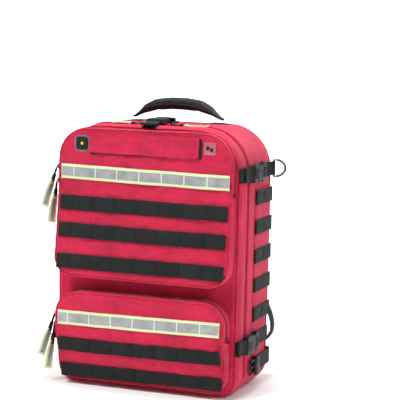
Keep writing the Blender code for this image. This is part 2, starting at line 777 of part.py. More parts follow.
def build_harness():
    back_pad()
    for side, side_name in ((-1, "left"), (1, "right")):
        top = (side * shoulder_centre(SHOULDER_TOP_Z), PAD_BACK_Y + GAP, SHOULDER_TOP_Z)
        hinge = empty(f"shoulder_hinge_{side_name}", top)
        strap = shoulder_strap(f"shoulder_strap_{side_name}", side, top)
        lock = ladder_lock(f"ladder_lock_{side_name}", side, top)
        chest = sternum_strap(f"sternum_strap_{side_name}", side)
        for piece in (strap, lock, chest):
            parent(piece, hinge)
        if side < 0:
            parent(sternum_buckle(), chest)
        corner = (side * 150, PAD_BACK_Y + 0.6, 59)
        shoulder_webbing(f"shoulder_webbing_{side_name}", side, corner)
        build_hip_strap(side, side_name)


def build_hip_strap(side, side_name):
    """A hip strap with one half of the waist buckle on its free end: the socket is on the left."""
    pivot = (side * 160, 99, HIP_Z)
    strap = hip_strap(f"hip_strap_{side_name}", side, pivot)
    if side < 0:
        half = buckle_socket("hip_socket", side_place(side, HIP_Z), 12)
        move_origin(half, pivot)
    else:
        half = hip_plug(side, pivot)
    parent(half, strap)


def hip_plug(side, pivot):
    """The waist plug faces forward, so its strap place runs the other way along Y."""
    shoulder_y, closed_y = 12, BUCKLE_LENGTH + GAP + PLUG_LENGTH

    def place(along, across, out):
        return side * (HALF_WIDTH + out), shoulder_y - PLUG_LENGTH - BUCKLE_LENGTH - along, HIP_Z + across

    return buckle_plug("hip_plug", place, closed_y - PLUG_LENGTH - BUCKLE_LENGTH, pivot)


def move_origin(obj, pivot):
    """Moves an object's origin without moving its shape."""
    shift = [new * MM - old for new, old in zip(pivot, obj.location)]
    for vertex in obj.data.vertices:
        vertex.co = [value - step for value, step in zip(vertex.co, shift)]
    obj.location = [value * MM for value in pivot]


def main():
    clear_scene()
    rear_shell()
    divider_shelf((0, 77, 234))
    for side, side_name in ((-1, "left"), (1, "right")):
        side_webbing(f"side_webbing_{side_name}", side)
        d_ring(f"d_ring_{side_name}", side)
    carry_handle((0, HANDLE_Y, HANDLE_AXIS_Z))
    build_harness()
    build_main_pulls()
    build_lid()


main()
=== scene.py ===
"""The looks of the clamshell medical backpack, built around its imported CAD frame.

Lengths in this file are in millimetres in the frame's own axes (front towards -Y, up +Z) and become metres
when a mesh is made.
"""

import math

import bmesh
import bpy
import numpy as np
from mathutils import Matrix, Vector, noise


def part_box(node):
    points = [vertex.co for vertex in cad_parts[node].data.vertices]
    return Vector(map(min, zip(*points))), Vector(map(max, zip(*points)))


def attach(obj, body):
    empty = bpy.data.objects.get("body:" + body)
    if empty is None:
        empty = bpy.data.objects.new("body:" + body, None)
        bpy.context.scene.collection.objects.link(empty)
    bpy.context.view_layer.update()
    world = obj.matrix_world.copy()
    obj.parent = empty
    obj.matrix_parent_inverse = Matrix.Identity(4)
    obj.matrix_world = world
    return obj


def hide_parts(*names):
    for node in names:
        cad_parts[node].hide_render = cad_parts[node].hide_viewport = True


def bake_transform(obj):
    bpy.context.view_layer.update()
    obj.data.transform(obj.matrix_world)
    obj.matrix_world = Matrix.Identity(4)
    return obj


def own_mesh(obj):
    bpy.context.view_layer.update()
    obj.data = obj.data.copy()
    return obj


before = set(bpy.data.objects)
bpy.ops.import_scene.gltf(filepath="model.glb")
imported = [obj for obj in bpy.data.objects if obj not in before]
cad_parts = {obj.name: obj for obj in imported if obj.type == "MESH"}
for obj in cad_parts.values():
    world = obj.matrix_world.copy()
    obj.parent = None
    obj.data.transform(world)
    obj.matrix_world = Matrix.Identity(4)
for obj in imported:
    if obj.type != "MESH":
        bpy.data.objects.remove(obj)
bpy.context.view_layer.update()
MM = 0.001

# The pack's driving sizes, read from the frame


def node_box(node):
    """A CAD node's lowest and highest corners in millimetres."""
    low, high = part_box(node)
    return np.array(low) / MM, np.array(high) / MM


SHELL_LOW, SHELL_HIGH = node_box("rear_shell")
HALF_WIDTH = SHELL_HIGH[0]
HEIGHT = SHELL_HIGH[2]
BACK_Y = SHELL_HIGH[1]
ZIP_Y = (SHELL_LOW[1] + node_box("lid_shell")[1][1]) / 2
LID_FRONT_Y = node_box("lid_shell")[0][1]
TOP_RADIUS, BOTTOM_RADIUS = 76, 30
UPPER_LOW, UPPER_TOP = node_box("upper_pocket")[0][2], node_box("upper_flap")[1][2]
UPPER_SPLIT = node_box("upper_flap")[0][2]
LOWER_LOW, LOWER_TOP = node_box("lower_pocket")[0][2], node_box("lower_flap")[1][2]
LOWER_SPLIT = node_box("lower_flap")[0][2]
UPPER_FACE_Y, UPPER_DEEP_Y = -97.0, node_box("upper_pocket")[0][1]
LOWER_FACE_Y, LOWER_SHALLOW_Y = node_box("lower_flap")[0][1], -97.0
WEBBING = 25
TACK_PITCH = 40.2
TACK_OFFSET = -8
STITCH_PITCH = 3.2
FORWARD, REARWARD, UPWARD = (0, -1, 0), (0, 1, 0), (0, 0, 1)
UPRIGHT = np.eye(3)
UPPER_ROWS = (316, 270, 218)
LOWER_ROWS = (74, 27)
SIDE_ROWS = (132, 182, 232, 282, 332)
UPPER_STRAP_Z, LOWER_STRAP_Z = 376, 86
UPPER_BAND_Z, LOWER_BAND_Z = 367.3, 122
ROUND_PATCH = (-114, 418)
SQUARE_PATCH = (115.5, 419.5)

# Materials


class Nodes:
    """A small helper that adds nodes to a material and links them in one call."""

    def __init__(self, name):
        self.material = bpy.data.materials.new(name)
        self.material.use_nodes = True
        self.tree = self.material.node_tree
        self.shader = self.tree.nodes["Principled BSDF"]

    def add(self, kind, inputs=(), **settings):
        node = self.tree.nodes.new(kind)
        for key, value in settings.items():
            setattr(node, key, value)
        for key, value in dict(inputs).items():
            if isinstance(value, bpy.types.NodeSocket):
                self.tree.links.new(value, node.inputs[key])
            else:
                node.inputs[key].default_value = value
        return node

    def math(self, operation, first, second=0.0):
        return self.add("ShaderNodeMath", {0: first, 1: second}, operation=operation).outputs[0]

    def set(self, key, value):
        if isinstance(value, bpy.types.NodeSocket):
            self.tree.links.new(value, self.shader.inputs[key])
        else:
            self.shader.inputs[key].default_value = value

    def place(self):
        return self.add("ShaderNodeTexCoord").outputs["Object"]

    def noise(self, scale, detail=3.0, roughness=0.55):
        inputs = {"Vector": self.place(), "Scale": scale, "Detail": detail, "Roughness": roughness}
        return self.add("ShaderNodeTexNoise", inputs).outputs["Fac"]

    def weave(self, pitch):
        """A plain weave of threads pitch metres apart, which reads the same on faces square to any axis."""
        axes = self.add("ShaderNodeSeparateXYZ", {0: self.place()}).outputs
        turns = 2 * math.pi / pitch
        waves = [self.math("SINE", self.math("MULTIPLY", axis, turns)) for axis in axes]
        pairs = [self.math("MULTIPLY", waves[a], waves[b]) for a, b in ((0, 1), (1, 2), (2, 0))]
        return self.math("ADD", self.math("ADD", pairs[0], pairs[1]), pairs[2])

    def ramp(self, value, stops):
        node = self.add("ShaderNodeValToRGB", {0: value})
        elements = node.color_ramp.elements
        while len(elements) < len(stops):
            elements.new(0.5)
        for element, (position, colour) in zip(elements, stops):
            element.position = position
            element.color = (*colour, 1)
        return node.outputs[0]

    def bump(self, height, strength, distance):
        node = self.add("ShaderNodeBump", {"Height": height, "Strength": strength, "Distance": distance})
        self.set("Normal", node.outputs[0])


def shade(colour, factor):
    return tuple(min(1.0, value * factor) for value in colour)


def fabric(name, colour, pitch=0.0011, mottle=0.16, roughness=0.8, sheen=0.25, bump=0.35, tint=None):
    """Woven cloth: threads in colour and bump, slow patches of uneven tone pushed lighter and darker as
    painted highlight and shade for the cloth's sheen streaks, and a soft sheen.
    """
    nodes = Nodes(name)
    weave = nodes.weave(pitch)
    # The slow patches are partly the cloth's uneven tone and partly painted highlight and shade; mottle sets
    # how far they go lighter and darker.
    broad = nodes.math("MULTIPLY", nodes.noise(14), 0.6)
    patchy = nodes.math("MULTIPLY", nodes.noise(90, 4.0), 0.4)
    slow = nodes.math("ADD", broad, patchy)
    fine = nodes.noise(420, 2.0)
    value = nodes.math("ADD", nodes.math("MULTIPLY", weave, 0.1), nodes.math("MULTIPLY", slow, 0.75))
    value = nodes.math("ADD", value, nodes.math("MULTIPLY", fine, 0.25))
    stops = [(0.28, shade(colour, 1 - mottle)), (0.5, colour), (0.74, shade(colour, 1 + mottle))]
    nodes.set("Base Color", nodes.ramp(value, stops))
    nodes.set("Roughness", roughness)
    nodes.set("Specular IOR Level", 0.3)
    nodes.set("Sheen Weight", sheen)
    nodes.set("Sheen Roughness", 0.45)
    nodes.set("Sheen Tint", (*(tint or shade(colour, 1.6)), 1))
    height = nodes.math("ADD", nodes.math("MULTIPLY", weave, 0.5), nodes.math("MULTIPLY", fine, 0.6))
    nodes.bump(height, bump, 0.0004)
    return nodes.material


def webbing_cloth(name, colour, pitch=0.0016):
    """Heavy ribbed tape: a coarse herringbone that is lighter on its crowns."""
    nodes = Nodes(name)
    axes = nodes.add("ShaderNodeSeparateXYZ", {0: nodes.place()}).outputs
    turns = 2 * math.pi / pitch
    along = nodes.math("ADD", axes[0], axes[1])
    slant = nodes.math("SINE", nodes.math("MULTIPLY", nodes.math("ADD", along, axes[2]), turns))
    rib = nodes.math("SINE", nodes.math("MULTIPLY", axes[2], turns * 0.75))
    ribs = nodes.math("ADD", nodes.math("MULTIPLY", slant, 0.5), nodes.math("MULTIPLY", rib, 0.5))
    slow = nodes.noise(22)
    value = nodes.math("ADD", nodes.math("MULTIPLY", ribs, 0.16), slow)
    stops = [(0.3, shade(colour, 0.7)), (0.55, colour), (0.8, shade(colour, 1.7))]
    nodes.set("Base Color", nodes.ramp(value, stops))
    nodes.set("Roughness", 0.78)
    nodes.set("Specular IOR Level", 0.3)
    nodes.set("Sheen Weight", 0.05)
    nodes.set("Sheen Tint", (0.5, 0.55, 0.55, 1))
    nodes.bump(ribs, 0.5, 0.0005)
    return nodes.material


def spacer_mesh(name, colour):
    """Knitted air mesh: small round holes in a springy face."""
    nodes = Nodes(name)
    cells = nodes.add("ShaderNodeTexVoronoi", {"Vector": nodes.place(), "Scale": 330.0})
    holes = cells.outputs["Distance"]
    slow = nodes.noise(18)
    value = nodes.math("ADD", nodes.math("MULTIPLY", holes, -0.6), nodes.math("MULTIPLY", slow, 0.6))
    stops = [(0.0, shade(colour, 0.35)), (0.16, colour), (0.5, shade(colour, 1.8))]
    nodes.set("Base Color", nodes.ramp(nodes.math("ADD", value, 0.2), stops))
    nodes.set("Roughness", 0.9)
    nodes.set("Sheen Weight", 0.1)
    nodes.bump(holes, 0.7, -0.0008)
    return nodes.material


def reflective(name, colour, roughness=0.42):
    """Retroreflective tape: a fine diamond lattice of prisms under a smooth skin."""
    nodes = Nodes(name)
    axes = nodes.add("ShaderNodeSeparateXYZ", {0: nodes.place()}).outputs
    turns = 2 * math.pi / 0.0028
    rise = nodes.math("SINE", nodes.math("MULTIPLY", nodes.math("ADD", axes[0], axes[2]), turns))
    fall = nodes.math("SINE", nodes.math("MULTIPLY", nodes.math("SUBTRACT", axes[0], axes[2]), turns))
    lattice = nodes.math("MULTIPLY", rise, fall)
    value = nodes.math("ADD", nodes.math("MULTIPLY", lattice, 0.2), nodes.noise(55, 2.0))
    stops = [(0.25, shade(colour, 0.78)), (0.5, colour), (0.78, shade(colour, 1.25))]
    nodes.set("Base Color", nodes.ramp(value, stops))
    nodes.set("Roughness", roughness)
    nodes.set("Metallic", 0.15)
    nodes.bump(lattice, 0.15, 0.0003)
    return nodes.material


def plastic(name, colour, roughness, texture=0.0005, coat=0.0):
    """Moulded plastic with a spark-eroded texture and handling marks in its gloss."""
    nodes = Nodes(name)
    grain = nodes.noise(1600, 2.0)
    marks = nodes.noise(75, 5.0, 0.7)
    nodes.set("Base Color", nodes.ramp(marks, [(0.3, shade(colour, 0.8)), (0.7, shade(colour, 1.35))]))
    low, high = [(roughness - 0.1,) * 3, (roughness + 0.14,) * 3]
    nodes.set("Roughness", nodes.ramp(marks, [(0.35, low), (0.68, high)]))
    nodes.set("Specular IOR Level", 0.32)
    nodes.set("Coat Weight", coat)
    nodes.bump(grain, 0.25, texture)
    return nodes.material


def enamel(name, colour):
    """Black enamelled zinc, worn to bare metal in specks on its edges."""
    nodes = Nodes(name)
    wear = nodes.noise(700, 4.0, 0.65)
    nodes.set("Base Color", nodes.ramp(wear, [(0.55, colour), (0.74, (0.32, 0.31, 0.3))]))
    nodes.set("Metallic", 0.75)
    nodes.set("Roughness", nodes.ramp(wear, [(0.3, (0.3,) * 3), (0.8, (0.5,) * 3)]))
    nodes.bump(wear, 0.12, 0.0002)
    return nodes.material


RED = fabric("red_cordura", (0.52, 0.012, 0.054), mottle=0.42, sheen=0.2, tint=(1.0, 0.5, 0.6))
# The zip tape is painted a darker red than the cloth, as painted shade for the groove the zips sit in.
RED_TAPE = fabric("red_zip_tape", (0.20, 0.004, 0.016), pitch=0.0007, mottle=0.2)
RED_THREAD = fabric("red_thread", (0.62, 0.045, 0.10), pitch=0.0005, bump=0.2)
BLACK_WEB = webbing_cloth("black_webbing", (0.0075, 0.009, 0.0088))
BLACK_CLOTH = fabric("black_cloth", (0.010, 0.010, 0.011), mottle=0.35, sheen=0.06, tint=(0.3, 0.3, 0.3))
GRIP_CLOTH = fabric("charcoal_grip_cloth", (0.017, 0.0155, 0.0155), mottle=0.3, sheen=0.12,
                    tint=(0.4, 0.38, 0.38))
LINING = fabric("grey_lining", (0.12, 0.125, 0.13), pitch=0.0008, mottle=0.12, roughness=0.6)
AIR_MESH = spacer_mesh("black_air_mesh", (0.014, 0.014, 0.015))
LIME = fabric("lime_tape", (0.70, 0.79, 0.46), pitch=0.0009, mottle=0.06, sheen=0.1, tint=(1, 1, 0.8))
SILVER = reflective("silver_reflective", (0.33, 0.335, 0.345))
BUCKLE_PLASTIC = plastic("black_acetal", (0.0045, 0.005, 0.005), 0.46)
RING_PLASTIC = plastic("grey_acetal", (0.055, 0.058, 0.062), 0.28, coat=0.3)
SLIDER_METAL = enamel("black_enamel", (0.02, 0.02, 0.022))
CORD_CLOTH = fabric("black_cord", (0.015, 0.015, 0.016), pitch=0.0012, mottle=0.3, bump=0.7)
# The coil is painted a much darker red than the cloth, as painted shade for the zip's groove.
COIL_PLASTIC = plastic("red_zip_coil", (0.12, 0.003, 0.010), 0.45)
PATCH_RUBBER = plastic("black_patch_rubber", (0.006, 0.006, 0.007), 0.6)
PATCH_GREY = plastic("grey_patch_rubber", (0.14, 0.13, 0.14), 0.65)
PATCH_PINK = plastic("pink_patch_rubber", (0.42, 0.11, 0.14), 0.65)
PATCH_YELLOW = plastic("yellow_patch_rubber", (0.85, 0.62, 0.06), 0.6)

# Mesh helpers


def add_piece(name, points, faces, materials, body, face_materials=None, slot=None, stands_for=()):
    """One finished mesh piece, from points in millimetres, that rides on a CAD body."""
    mesh = bpy.data.meshes.new(name)
    mesh.from_pydata([tuple(float(value) * MM for value in point) for point in points], [], faces)
    for material in materials if isinstance(materials, (list, tuple)) else [materials]:
        mesh.materials.append(material)
    if face_materials is not None:
        mesh.polygons.foreach_set("material_index", face_materials)
    mesh.shade_smooth()
    mesh.set_sharp_from_angle(angle=math.radians(50))
    mesh.validate()
    piece = bpy.data.objects.new(name, mesh)
    bpy.context.scene.collection.objects.link(piece)
    return settle(piece, body, slot, stands_for)


def settle(piece, body, slot=None, stands_for=()):
    """Lets a piece ride on a body; where body is a (body, body, start, end) tuple, it only bakes the piece's
    place into its mesh.
    """
    if isinstance(body, tuple):
        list(body)
        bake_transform(piece)
    else:
        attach(piece, body)
    if stands_for:
        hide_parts(*stands_for)
    return piece


def merge(parts):
    """Joins (points, faces) pairs into one."""
    points, faces = [], []
    for part_points, part_faces in parts:
        start = len(points)
        points.extend(part_points)
        faces.extend(tuple(start + index for index in face) for face in part_faces)
    return points, faces


def chaikin(points, rounds=2):
    """Rounds a polyline's corners and keeps its ends."""
    points = np.array(points, float)
    for _ in range(rounds):
        first, second = points[:-1], points[1:]
        cut = np.empty((2 * len(first), points.shape[1]))
        cut[0::2] = first * 0.75 + second * 0.25
        cut[1::2] = first * 0.25 + second * 0.75
        points = np.vstack([points[:1], cut, points[-1:]])
    return points


def resample(points, spacing):
    """Points an even distance apart along a polyline."""
    points = np.array(points, float)
    steps = np.linalg.norm(np.diff(points, axis=0), axis=1)
    places = np.concatenate([[0], np.cumsum(steps)])
    count = max(2, int(round(places[-1] / spacing)) + 1)
    wanted = np.linspace(0, places[-1], count)
    return np.stack([np.interp(wanted, places, points[:, axis]) for axis in range(points.shape[1])], axis=1)


CORNER_STEPS, EDGE_X_STEPS, EDGE_Z_STEPS = 10, 36, 44


def outline(half_width, bottom, top, bottom_radius, top_radius):
    """A rounded rectangle in XZ and its outward directions, which starts at the lower right corner."""
    corners = (
        (half_width - bottom_radius, bottom + bottom_radius, bottom_radius, -90, EDGE_Z_STEPS),
        (half_width - top_radius, top - top_radius, top_radius, 0, EDGE_X_STEPS),
        (top_radius - half_width, top - top_radius, top_radius, 90, EDGE_Z_STEPS),
        (bottom_radius - half_width, bottom + bottom_radius, bottom_radius, 180, EDGE_X_STEPS),
    )
    arcs, outward = [], []
    for centre_x, centre_z, radius, start, _ in corners:
        angles = np.radians(start + np.linspace(0, 90, CORNER_STEPS + 1))
        turn = np.stack([np.cos(angles), np.sin(angles)], axis=1)
        arcs.append(np.array([centre_x, centre_z]) + radius * turn)
        outward.append(turn)
    points, directions = [], []
    for index, corner in enumerate(corners):
        points.append(arcs[index])
        directions.append(outward[index])
        following = arcs[(index + 1) % 4][0]
        share = np.linspace(0, 1, corner[4] + 1)[1:-1, None]
        points.append(arcs[index][-1] * (1 - share) + following * share)
        directions.append(np.repeat(outward[index][-1:], len(share), axis=0))
    return np.vstack(points), np.vstack(directions)


def body_outline(inset):
    low = 3.0
    radii = (max(BOTTOM_RADIUS - inset / 2, low), max(TOP_RADIUS - inset / 2, low))
    return outline(HALF_WIDTH - inset, inset, HEIGHT - inset, *radii)


def skin(rings, ends="capped"):
    """Points and faces of a closed surface through equal rings: its ends are capped, or joined in a loop."""
    count = len(rings[0])
    points = np.vstack(rings)
    levels = len(rings) if ends == "loop" else len(rings) - 1
    faces = []
    for level in range(levels):
        start = level * count
        end = (level + 1) % len(rings) * count
        for index in range(count):
            following = (index + 1) % count
            faces.append((start + index, start + following, end + following, end + index))
    if ends == "capped":
        faces.append(tuple(reversed(range(count))))
        faces.append(tuple(range(len(points) - count, len(points))))
    if signed_volume(points, faces) < 0:
        faces = [tuple(reversed(face)) for face in faces]
    return [tuple(point) for point in points], faces


def signed_volume(points, faces):
    """Positive where a closed surface's faces point outward."""
    corners = np.array([(face[0], face[i], face[i + 1]) for face in faces for i in range(1, len(face) - 1)])
    a, b, c = (points[corners[:, index]] for index in range(3))
    return float(np.einsum("ij,ij->i", a, np.cross(b, c)).sum())


def frames_along(path, closed=False):
    """Unit tangents of a path."""
    if closed:
        tangents = np.roll(path, -1, axis=0) - np.roll(path, 1, axis=0)
    else:
        tangents = np.gradient(path, axis=0)
    return tangents / np.linalg.norm(tangents, axis=1)[:, None]


def tube(path, radius, sides=8, closed=False, hint=(0.31, 0.87, 0.38)):
    """A round tube along a path; radius may be one number or one for each point."""
    path = np.array(path, float)
    radii = np.broadcast_to(np.array(radius, float), (len(path),))
    tangents = frames_along(path, closed)
    across = np.cross(tangents, np.array(hint))
    across /= np.linalg.norm(across, axis=1)[:, None]
    other = np.cross(tangents, across)
    angles = np.linspace(0, 2 * math.pi, sides, endpoint=False)
    rings = []
    for point, a, b, size in zip(path, across, other, radii):
        rings.append(point + size * (np.cos(angles)[:, None] * a + np.sin(angles)[:, None] * b))
    return skin(rings, "loop" if closed else "capped")


def strap(path, across, out, width, thickness, edge=0.6):
    """A woven strap: path lies on its inner face, across and out are directions at each point."""
    path = np.array(path, float)
    across = np.broadcast_to(np.array(across, float), path.shape)
    out = np.broadcast_to(np.array(out, float), path.shape)
    half = width / 2
    section = [(-half, 0.2), (-half, 0.8), (-half + edge, 1), (-half * 0.4, 1.0), (half * 0.4, 1.0)]
    section += [(half - edge, 1), (half, 0.8), (half, 0.2), (half - edge, 0), (-half + edge, 0)]
    rings = []
    for point, side, lift in zip(path, across, out):
        rings.append(np.array([point + side * a + lift * b * thickness for a, b in section]))
    return skin(rings)


def block(centre, axes, sizes, chamfer=0.0):
    """A chamfered block: axes are three unit directions, sizes its full lengths along them."""
    centre = np.array(centre, float)
    axes = np.array(axes, float)
    half = np.array(sizes, float) / 2
    rings = []
    levels = [(-1, chamfer), (-1, 0), (1, 0), (1, chamfer)] if chamfer else [(-1, 0), (1, 0)]
    for index, (sign, draw_in) in enumerate(levels):
        height = sign * (half[2] - (0 if index in (0, len(levels) - 1) else chamfer))
        a, b = half[0] - draw_in, half[1] - draw_in
        ring = [(-a, -b), (a, -b), (a, b), (-a, b)]
        if chamfer:
            c = min(chamfer, a / 2, b / 2)
            ring = [(-a + c, -b), (a - c, -b), (a, -b + c), (a, b - c)]
            ring += [(-x, -z) for x, z in ring]
        rings.append(np.array([centre + axes[0] * p + axes[1] * q + axes[2] * height for p, q in ring]))
    return skin(rings)


def bartack(centre, along, out, length=20, width=1.8):
    """A dense zigzag bar of thread."""
    along, out = np.array(along, float), np.array(out, float)
    side = np.cross(along, out)
    parts = []
    count = int(length / 1.1)
    for index in range(count):
        offset = (index - (count - 1) / 2) * 1.1
        place = np.array(centre, float) + along * offset
        parts.append(block(place + out * 0.25, (side, along, out), (width, 0.8, 0.7)))
    return merge(parts)


def wave(x, y, z, scale, seed):
    """Smooth noise between about -1 and 1 at a point in millimetres."""
    return noise.noise(Vector((x / scale[0] + seed, y / scale[1] - seed, z / scale[2] + seed * 0.5)))


def smooth_step(value, low, high):
    share = min(max((value - low) / (high - low), 0.0), 1.0)
    return share * share * (3 - 2 * share)


# The body: a rear shell and a lid that meet at the main zip


def cloth_ring(y, inset, swell):
    """A ring of the pack's outline, pushed outward by swell(x, y, z)."""
    flat, outward = body_outline(inset)
    ring = np.column_stack([flat[:, 0], np.full(len(flat), y), flat[:, 1]])
    lift = np.array([swell(*point) for point in ring])
    ring[:, 0] += outward[:, 0] * lift
    ring[:, 2] = np.maximum(ring[:, 2] + outward[:, 1] * lift, 0.2)
    return ring


def cap_rings(edge, shares, depth):
    """Rings that shrink to the middle of an edge ring, with depth(x, z) giving their Y."""
    middle = (edge.max(axis=0) + edge.min(axis=0)) / 2
    rings = []
    for share in shares:
        ring = middle + (edge - middle) * share
        ring[:, 1] = [depth(x, z) for x, _, z in ring]
        rings.append(ring)
    return rings


def shell_piece(name, outer, inner, body, stands_for):
    """A lined cloth shell: both ring lists run from the rim to the middle of the closed side."""
    points, faces = skin(inner[::-1] + outer)
    lined = (len(inner) - 1) * len(inner[0])
    which = [1 if index < lined else 0 for index in range(len(faces))]
    which[-2] = 1
    lined_cloth = [RED, LINING]
    return add_piece(name, points, faces, lined_cloth, body, which, slot="red_fabric", stands_for=stands_for)


def side_creases(x, y, z):
    """How the side cloth heaves: long soft folds that run up the pack."""
    long_folds = 1.1 * wave(x, y, z, (60, 12, 75), 3.1)
    folds = 0.6 * wave(x, y + 0.12 * z, z, (30, 7, 30), 7.7)
    return long_folds + folds + 0.15 * wave(x, y, z, (9, 5, 9), 1.7)


def rear_swell(x, y, z):
    return side_creases(x, y, z) * smooth_step(y, -40, -25) * 0.7


def lid_swell(x, y, z):
    rim = smooth_step(-y, 47, 55)
    return rim * (1.5 * side_creases(x, y, z) + 0.9 * math.sin(math.pi * min(1, (-45 - y) / 36)))


def lid_front(x, z):
    """The lid's front cloth, which sags in folds where it shows between the two pockets."""
    open_band = math.exp(-(((z - 180) / 16) ** 2))
    fold = 1.6 * wave(x, 0, z, (55, 1, 10), 5.2) + 1.2 * wave(x, 0, z, (18, 1, 9), 1.3)
    return LID_FRONT_Y + open_band * (2.2 + fold)


SHRINK = [1 - step / 18 for step in range(1, 18)]


def build_rear_body():
    stations = [(ZIP_Y + 0.3, 2), (-43.6, 1.1), (-41, 0.4), (-36, 0)]
    stations += [(-30 + 8 * step, 0) for step in range(12)]
    stations += [(66, 0.3), (73, 1.6), (79, 3.6), (83, 7), (BACK_Y, 12)]
    outer = [cloth_ring(y, inset, rear_swell) for y, inset in stations]
    outer += cap_rings(outer[-1], SHRINK, lambda x, z: BACK_Y)
    lining = ((-44.6, 5), (0, 3.4), (66, 3.4), (78, 6), (83, 14))
    inner = [cloth_ring(y, inset, lambda *_: 0) for y, inset in lining]
    inner += cap_rings(inner[-1], (0.7, 0.35, 0.05), lambda x, z: BACK_Y - 3)
    return shell_piece("rear_body", outer, inner, "pack", ["rear_shell"])


def build_lid_body():
    stations = [(-45.3, 2), (-46.4, 1.0), (-49, 0.3), (-53, 0), (-57, 0), (-61, 0), (-65, 0.2), (-69, 0.5)]
    stations += [(-73, 1.0), (-76.5, 2.0), (-79, 3.4), (-81, 4.6), (-82.8, 6.4), (LID_FRONT_Y, 9)]
    outer = [cloth_ring(y, inset, lid_swell) for y, inset in stations]
    outer += cap_rings(outer[-1], [1 - step / 60 for step in range(1, 60)], lid_front)
    lining = ((-45.4, 5), (-58, 3.4), (-70, 4), (-80.6, 10))
    inner = [cloth_ring(y, inset, lambda *_: 0) for y, inset in lining]
    inner += cap_rings(inner[-1], (0.7, 0.35, 0.05), lambda x, z: LID_FRONT_Y + 3.2)
    return shell_piece("lid_body", outer, inner, "lid", ["lid_shell"])


def arch(half_outline, low_z):
    """The part of an (outline, outward) pair above low_z, as a path up one side and down the other."""
    flat, outward = half_outline
    keep = flat[:, 1] >= low_z
    return flat[keep], outward[keep]


def place_path(flat, outward, y, lift=0.0):
    """A 3D path from an XZ path, moved out by lift."""
    moved = flat + outward * lift
    return np.column_stack([moved[:, 0], np.full(len(moved), y), moved[:, 1]])


def seam_band(flat, outward, profile):
    """A solid band that follows an XZ path, with profile giving (y, lift) pairs round its section."""
    rings = []
    for point, direction in zip(flat, outward):
        (x, z), (out_x, out_z) = point, direction
        rings.append([(x + out_x * lift, y, z + out_z * lift) for y, lift in profile])
    return skin([np.array(ring) for ring in rings])


def build_storm_flap():
    """The folded strip behind the main zip that rain runs off, sewn down along its rear edge."""
    flat, outward = arch(body_outline(0), 27)
    top = [(-41.8, 0.3), (-41.4, 1.9), (-39, 2.3), (-32, 1.9)]
    top += [(-22, 1.5), (-13, 1.2), (-9.5, 1.0), (-8.6, 0.2)]
    points, faces = seam_band(flat, outward, top + [(-8.6, -0.8), (-41.8, -0.8)])
    points = [(x, y, z + 0.35 * wave(x, y, z, (30, 9, 30), 2.2)) for x, y, z in points]
    add_piece("storm_flap", points, faces, RED, "pack", slot="red_fabric")
    stitches = []
    for y, lift in ((-11.5, 1.1), (-38.0, 2.2)):
        path = resample(place_path(flat, outward, y, lift), 3.4)
        stitches.append(stitch_run(path, arch_normals(flat, outward, len(path))))
    add_piece("storm_flap_stitching", *merge(stitches), RED_THREAD, "pack", slot="red_fabric")


def arch_normals(flat, outward, count):
    """Outward directions for count even steps along an XZ path."""
    steps = np.linalg.norm(np.diff(flat, axis=0), axis=1)
    places = np.concatenate([[0], np.cumsum(steps)])
    wanted = np.linspace(0, places[-1], count)
    x, z = (np.interp(wanted, places, outward[:, axis]) for axis in range(2))
    normals = np.column_stack([x, np.zeros(count), z])
    return normals / np.linalg.norm(normals, axis=1)[:, None]


def stitch_run(path, normals, length=2.3, radius=0.3):
    """One short raised thread at each point of a path."""
    parts = []
    for point, tangent, normal in zip(path, frames_along(path), normals):
        side = np.cross(tangent, normal)
        size = (length, radius * 2, radius * 1.8)
        parts.append(block(point + normal * radius * 0.5, (tangent, side, normal), size))
    return merge(parts)


def straight_run(path, normal, length, radius):
    """A stitch run whose threads all face one way."""
    return stitch_run(path, np.repeat([normal], len(path), axis=0), length, radius)


def zip_coil(path, radius=1.5, pitch=1.9):
    """A zip's closed teeth: a thin tube with a bump for each tooth."""
    path = resample(path, pitch / 2)
    radii = [radius * (1.0 if index % 2 else 0.72) for index in range(len(path))]
    return tube(path, radii, 6)


def build_main_zip():
    """The closed coil and its tape in the groove between the lid and the rear shell."""
    flat, outward = arch(body_outline(2), 3)
    tape = [(-46.6, -2.2), (-46.6, -1.1), (-40.5, -1.1), (-40.5, -2.2)]
    add_piece("main_zip_tape", *seam_band(flat, outward, tape), RED_TAPE, "pack", slot="red_fabric")
    coil = zip_coil(place_path(flat, outward, ZIP_Y, -0.6))
    add_piece("main_zip_coil", *coil, COIL_PLASTIC, "pack", slot="zip_metal")


def build_body_piping():
    """Piping in the seams round the lid's front and the rear shell's back."""
    for name, y, inset, body in (("lid_piping", -80.2, 3.2, "lid"), ("back_piping", 79.5, 2.8, "pack")):
        flat, outward = body_outline(inset)
        path = place_path(flat, outward, y, 0.3)
        path[:, 2] = np.maximum(path[:, 2], 1.7)
        add_piece(name, *tube(path, 1.5, 8, closed=True), RED, body, slot="red_fabric")


# Front pockets


def upper_face(x, z):
    """Where the upper pocket's front cloth is, with its crown, folds and sewn columns."""
    lean = UPPER_DEEP_Y - UPPER_FACE_Y
    share = max(0.0, (UPPER_SPLIT + 8 - z) / (UPPER_SPLIT + 8 - UPPER_LOW))
    y = UPPER_FACE_Y + lean * share * smooth_step(share, -0.06, 0.12)
    crown = 3.4 * max(0, 1 - (x / 150) ** 2) * smooth_step(z, 195, 250) * (1 - smooth_step(z, 345, 446))
    y -= crown + sewn_columns(x, z, 202, 340) + soft_folds(x, z, 4.0)
    y += corner_folds(x, z, 150, 204, 4.2) + corner_folds(x, z, 152, 352, 2.2)
    y += corner_folds(x, z, 150, 396, 1.8) + corner_folds(x, z, 150, 246, 1.8)
    return y


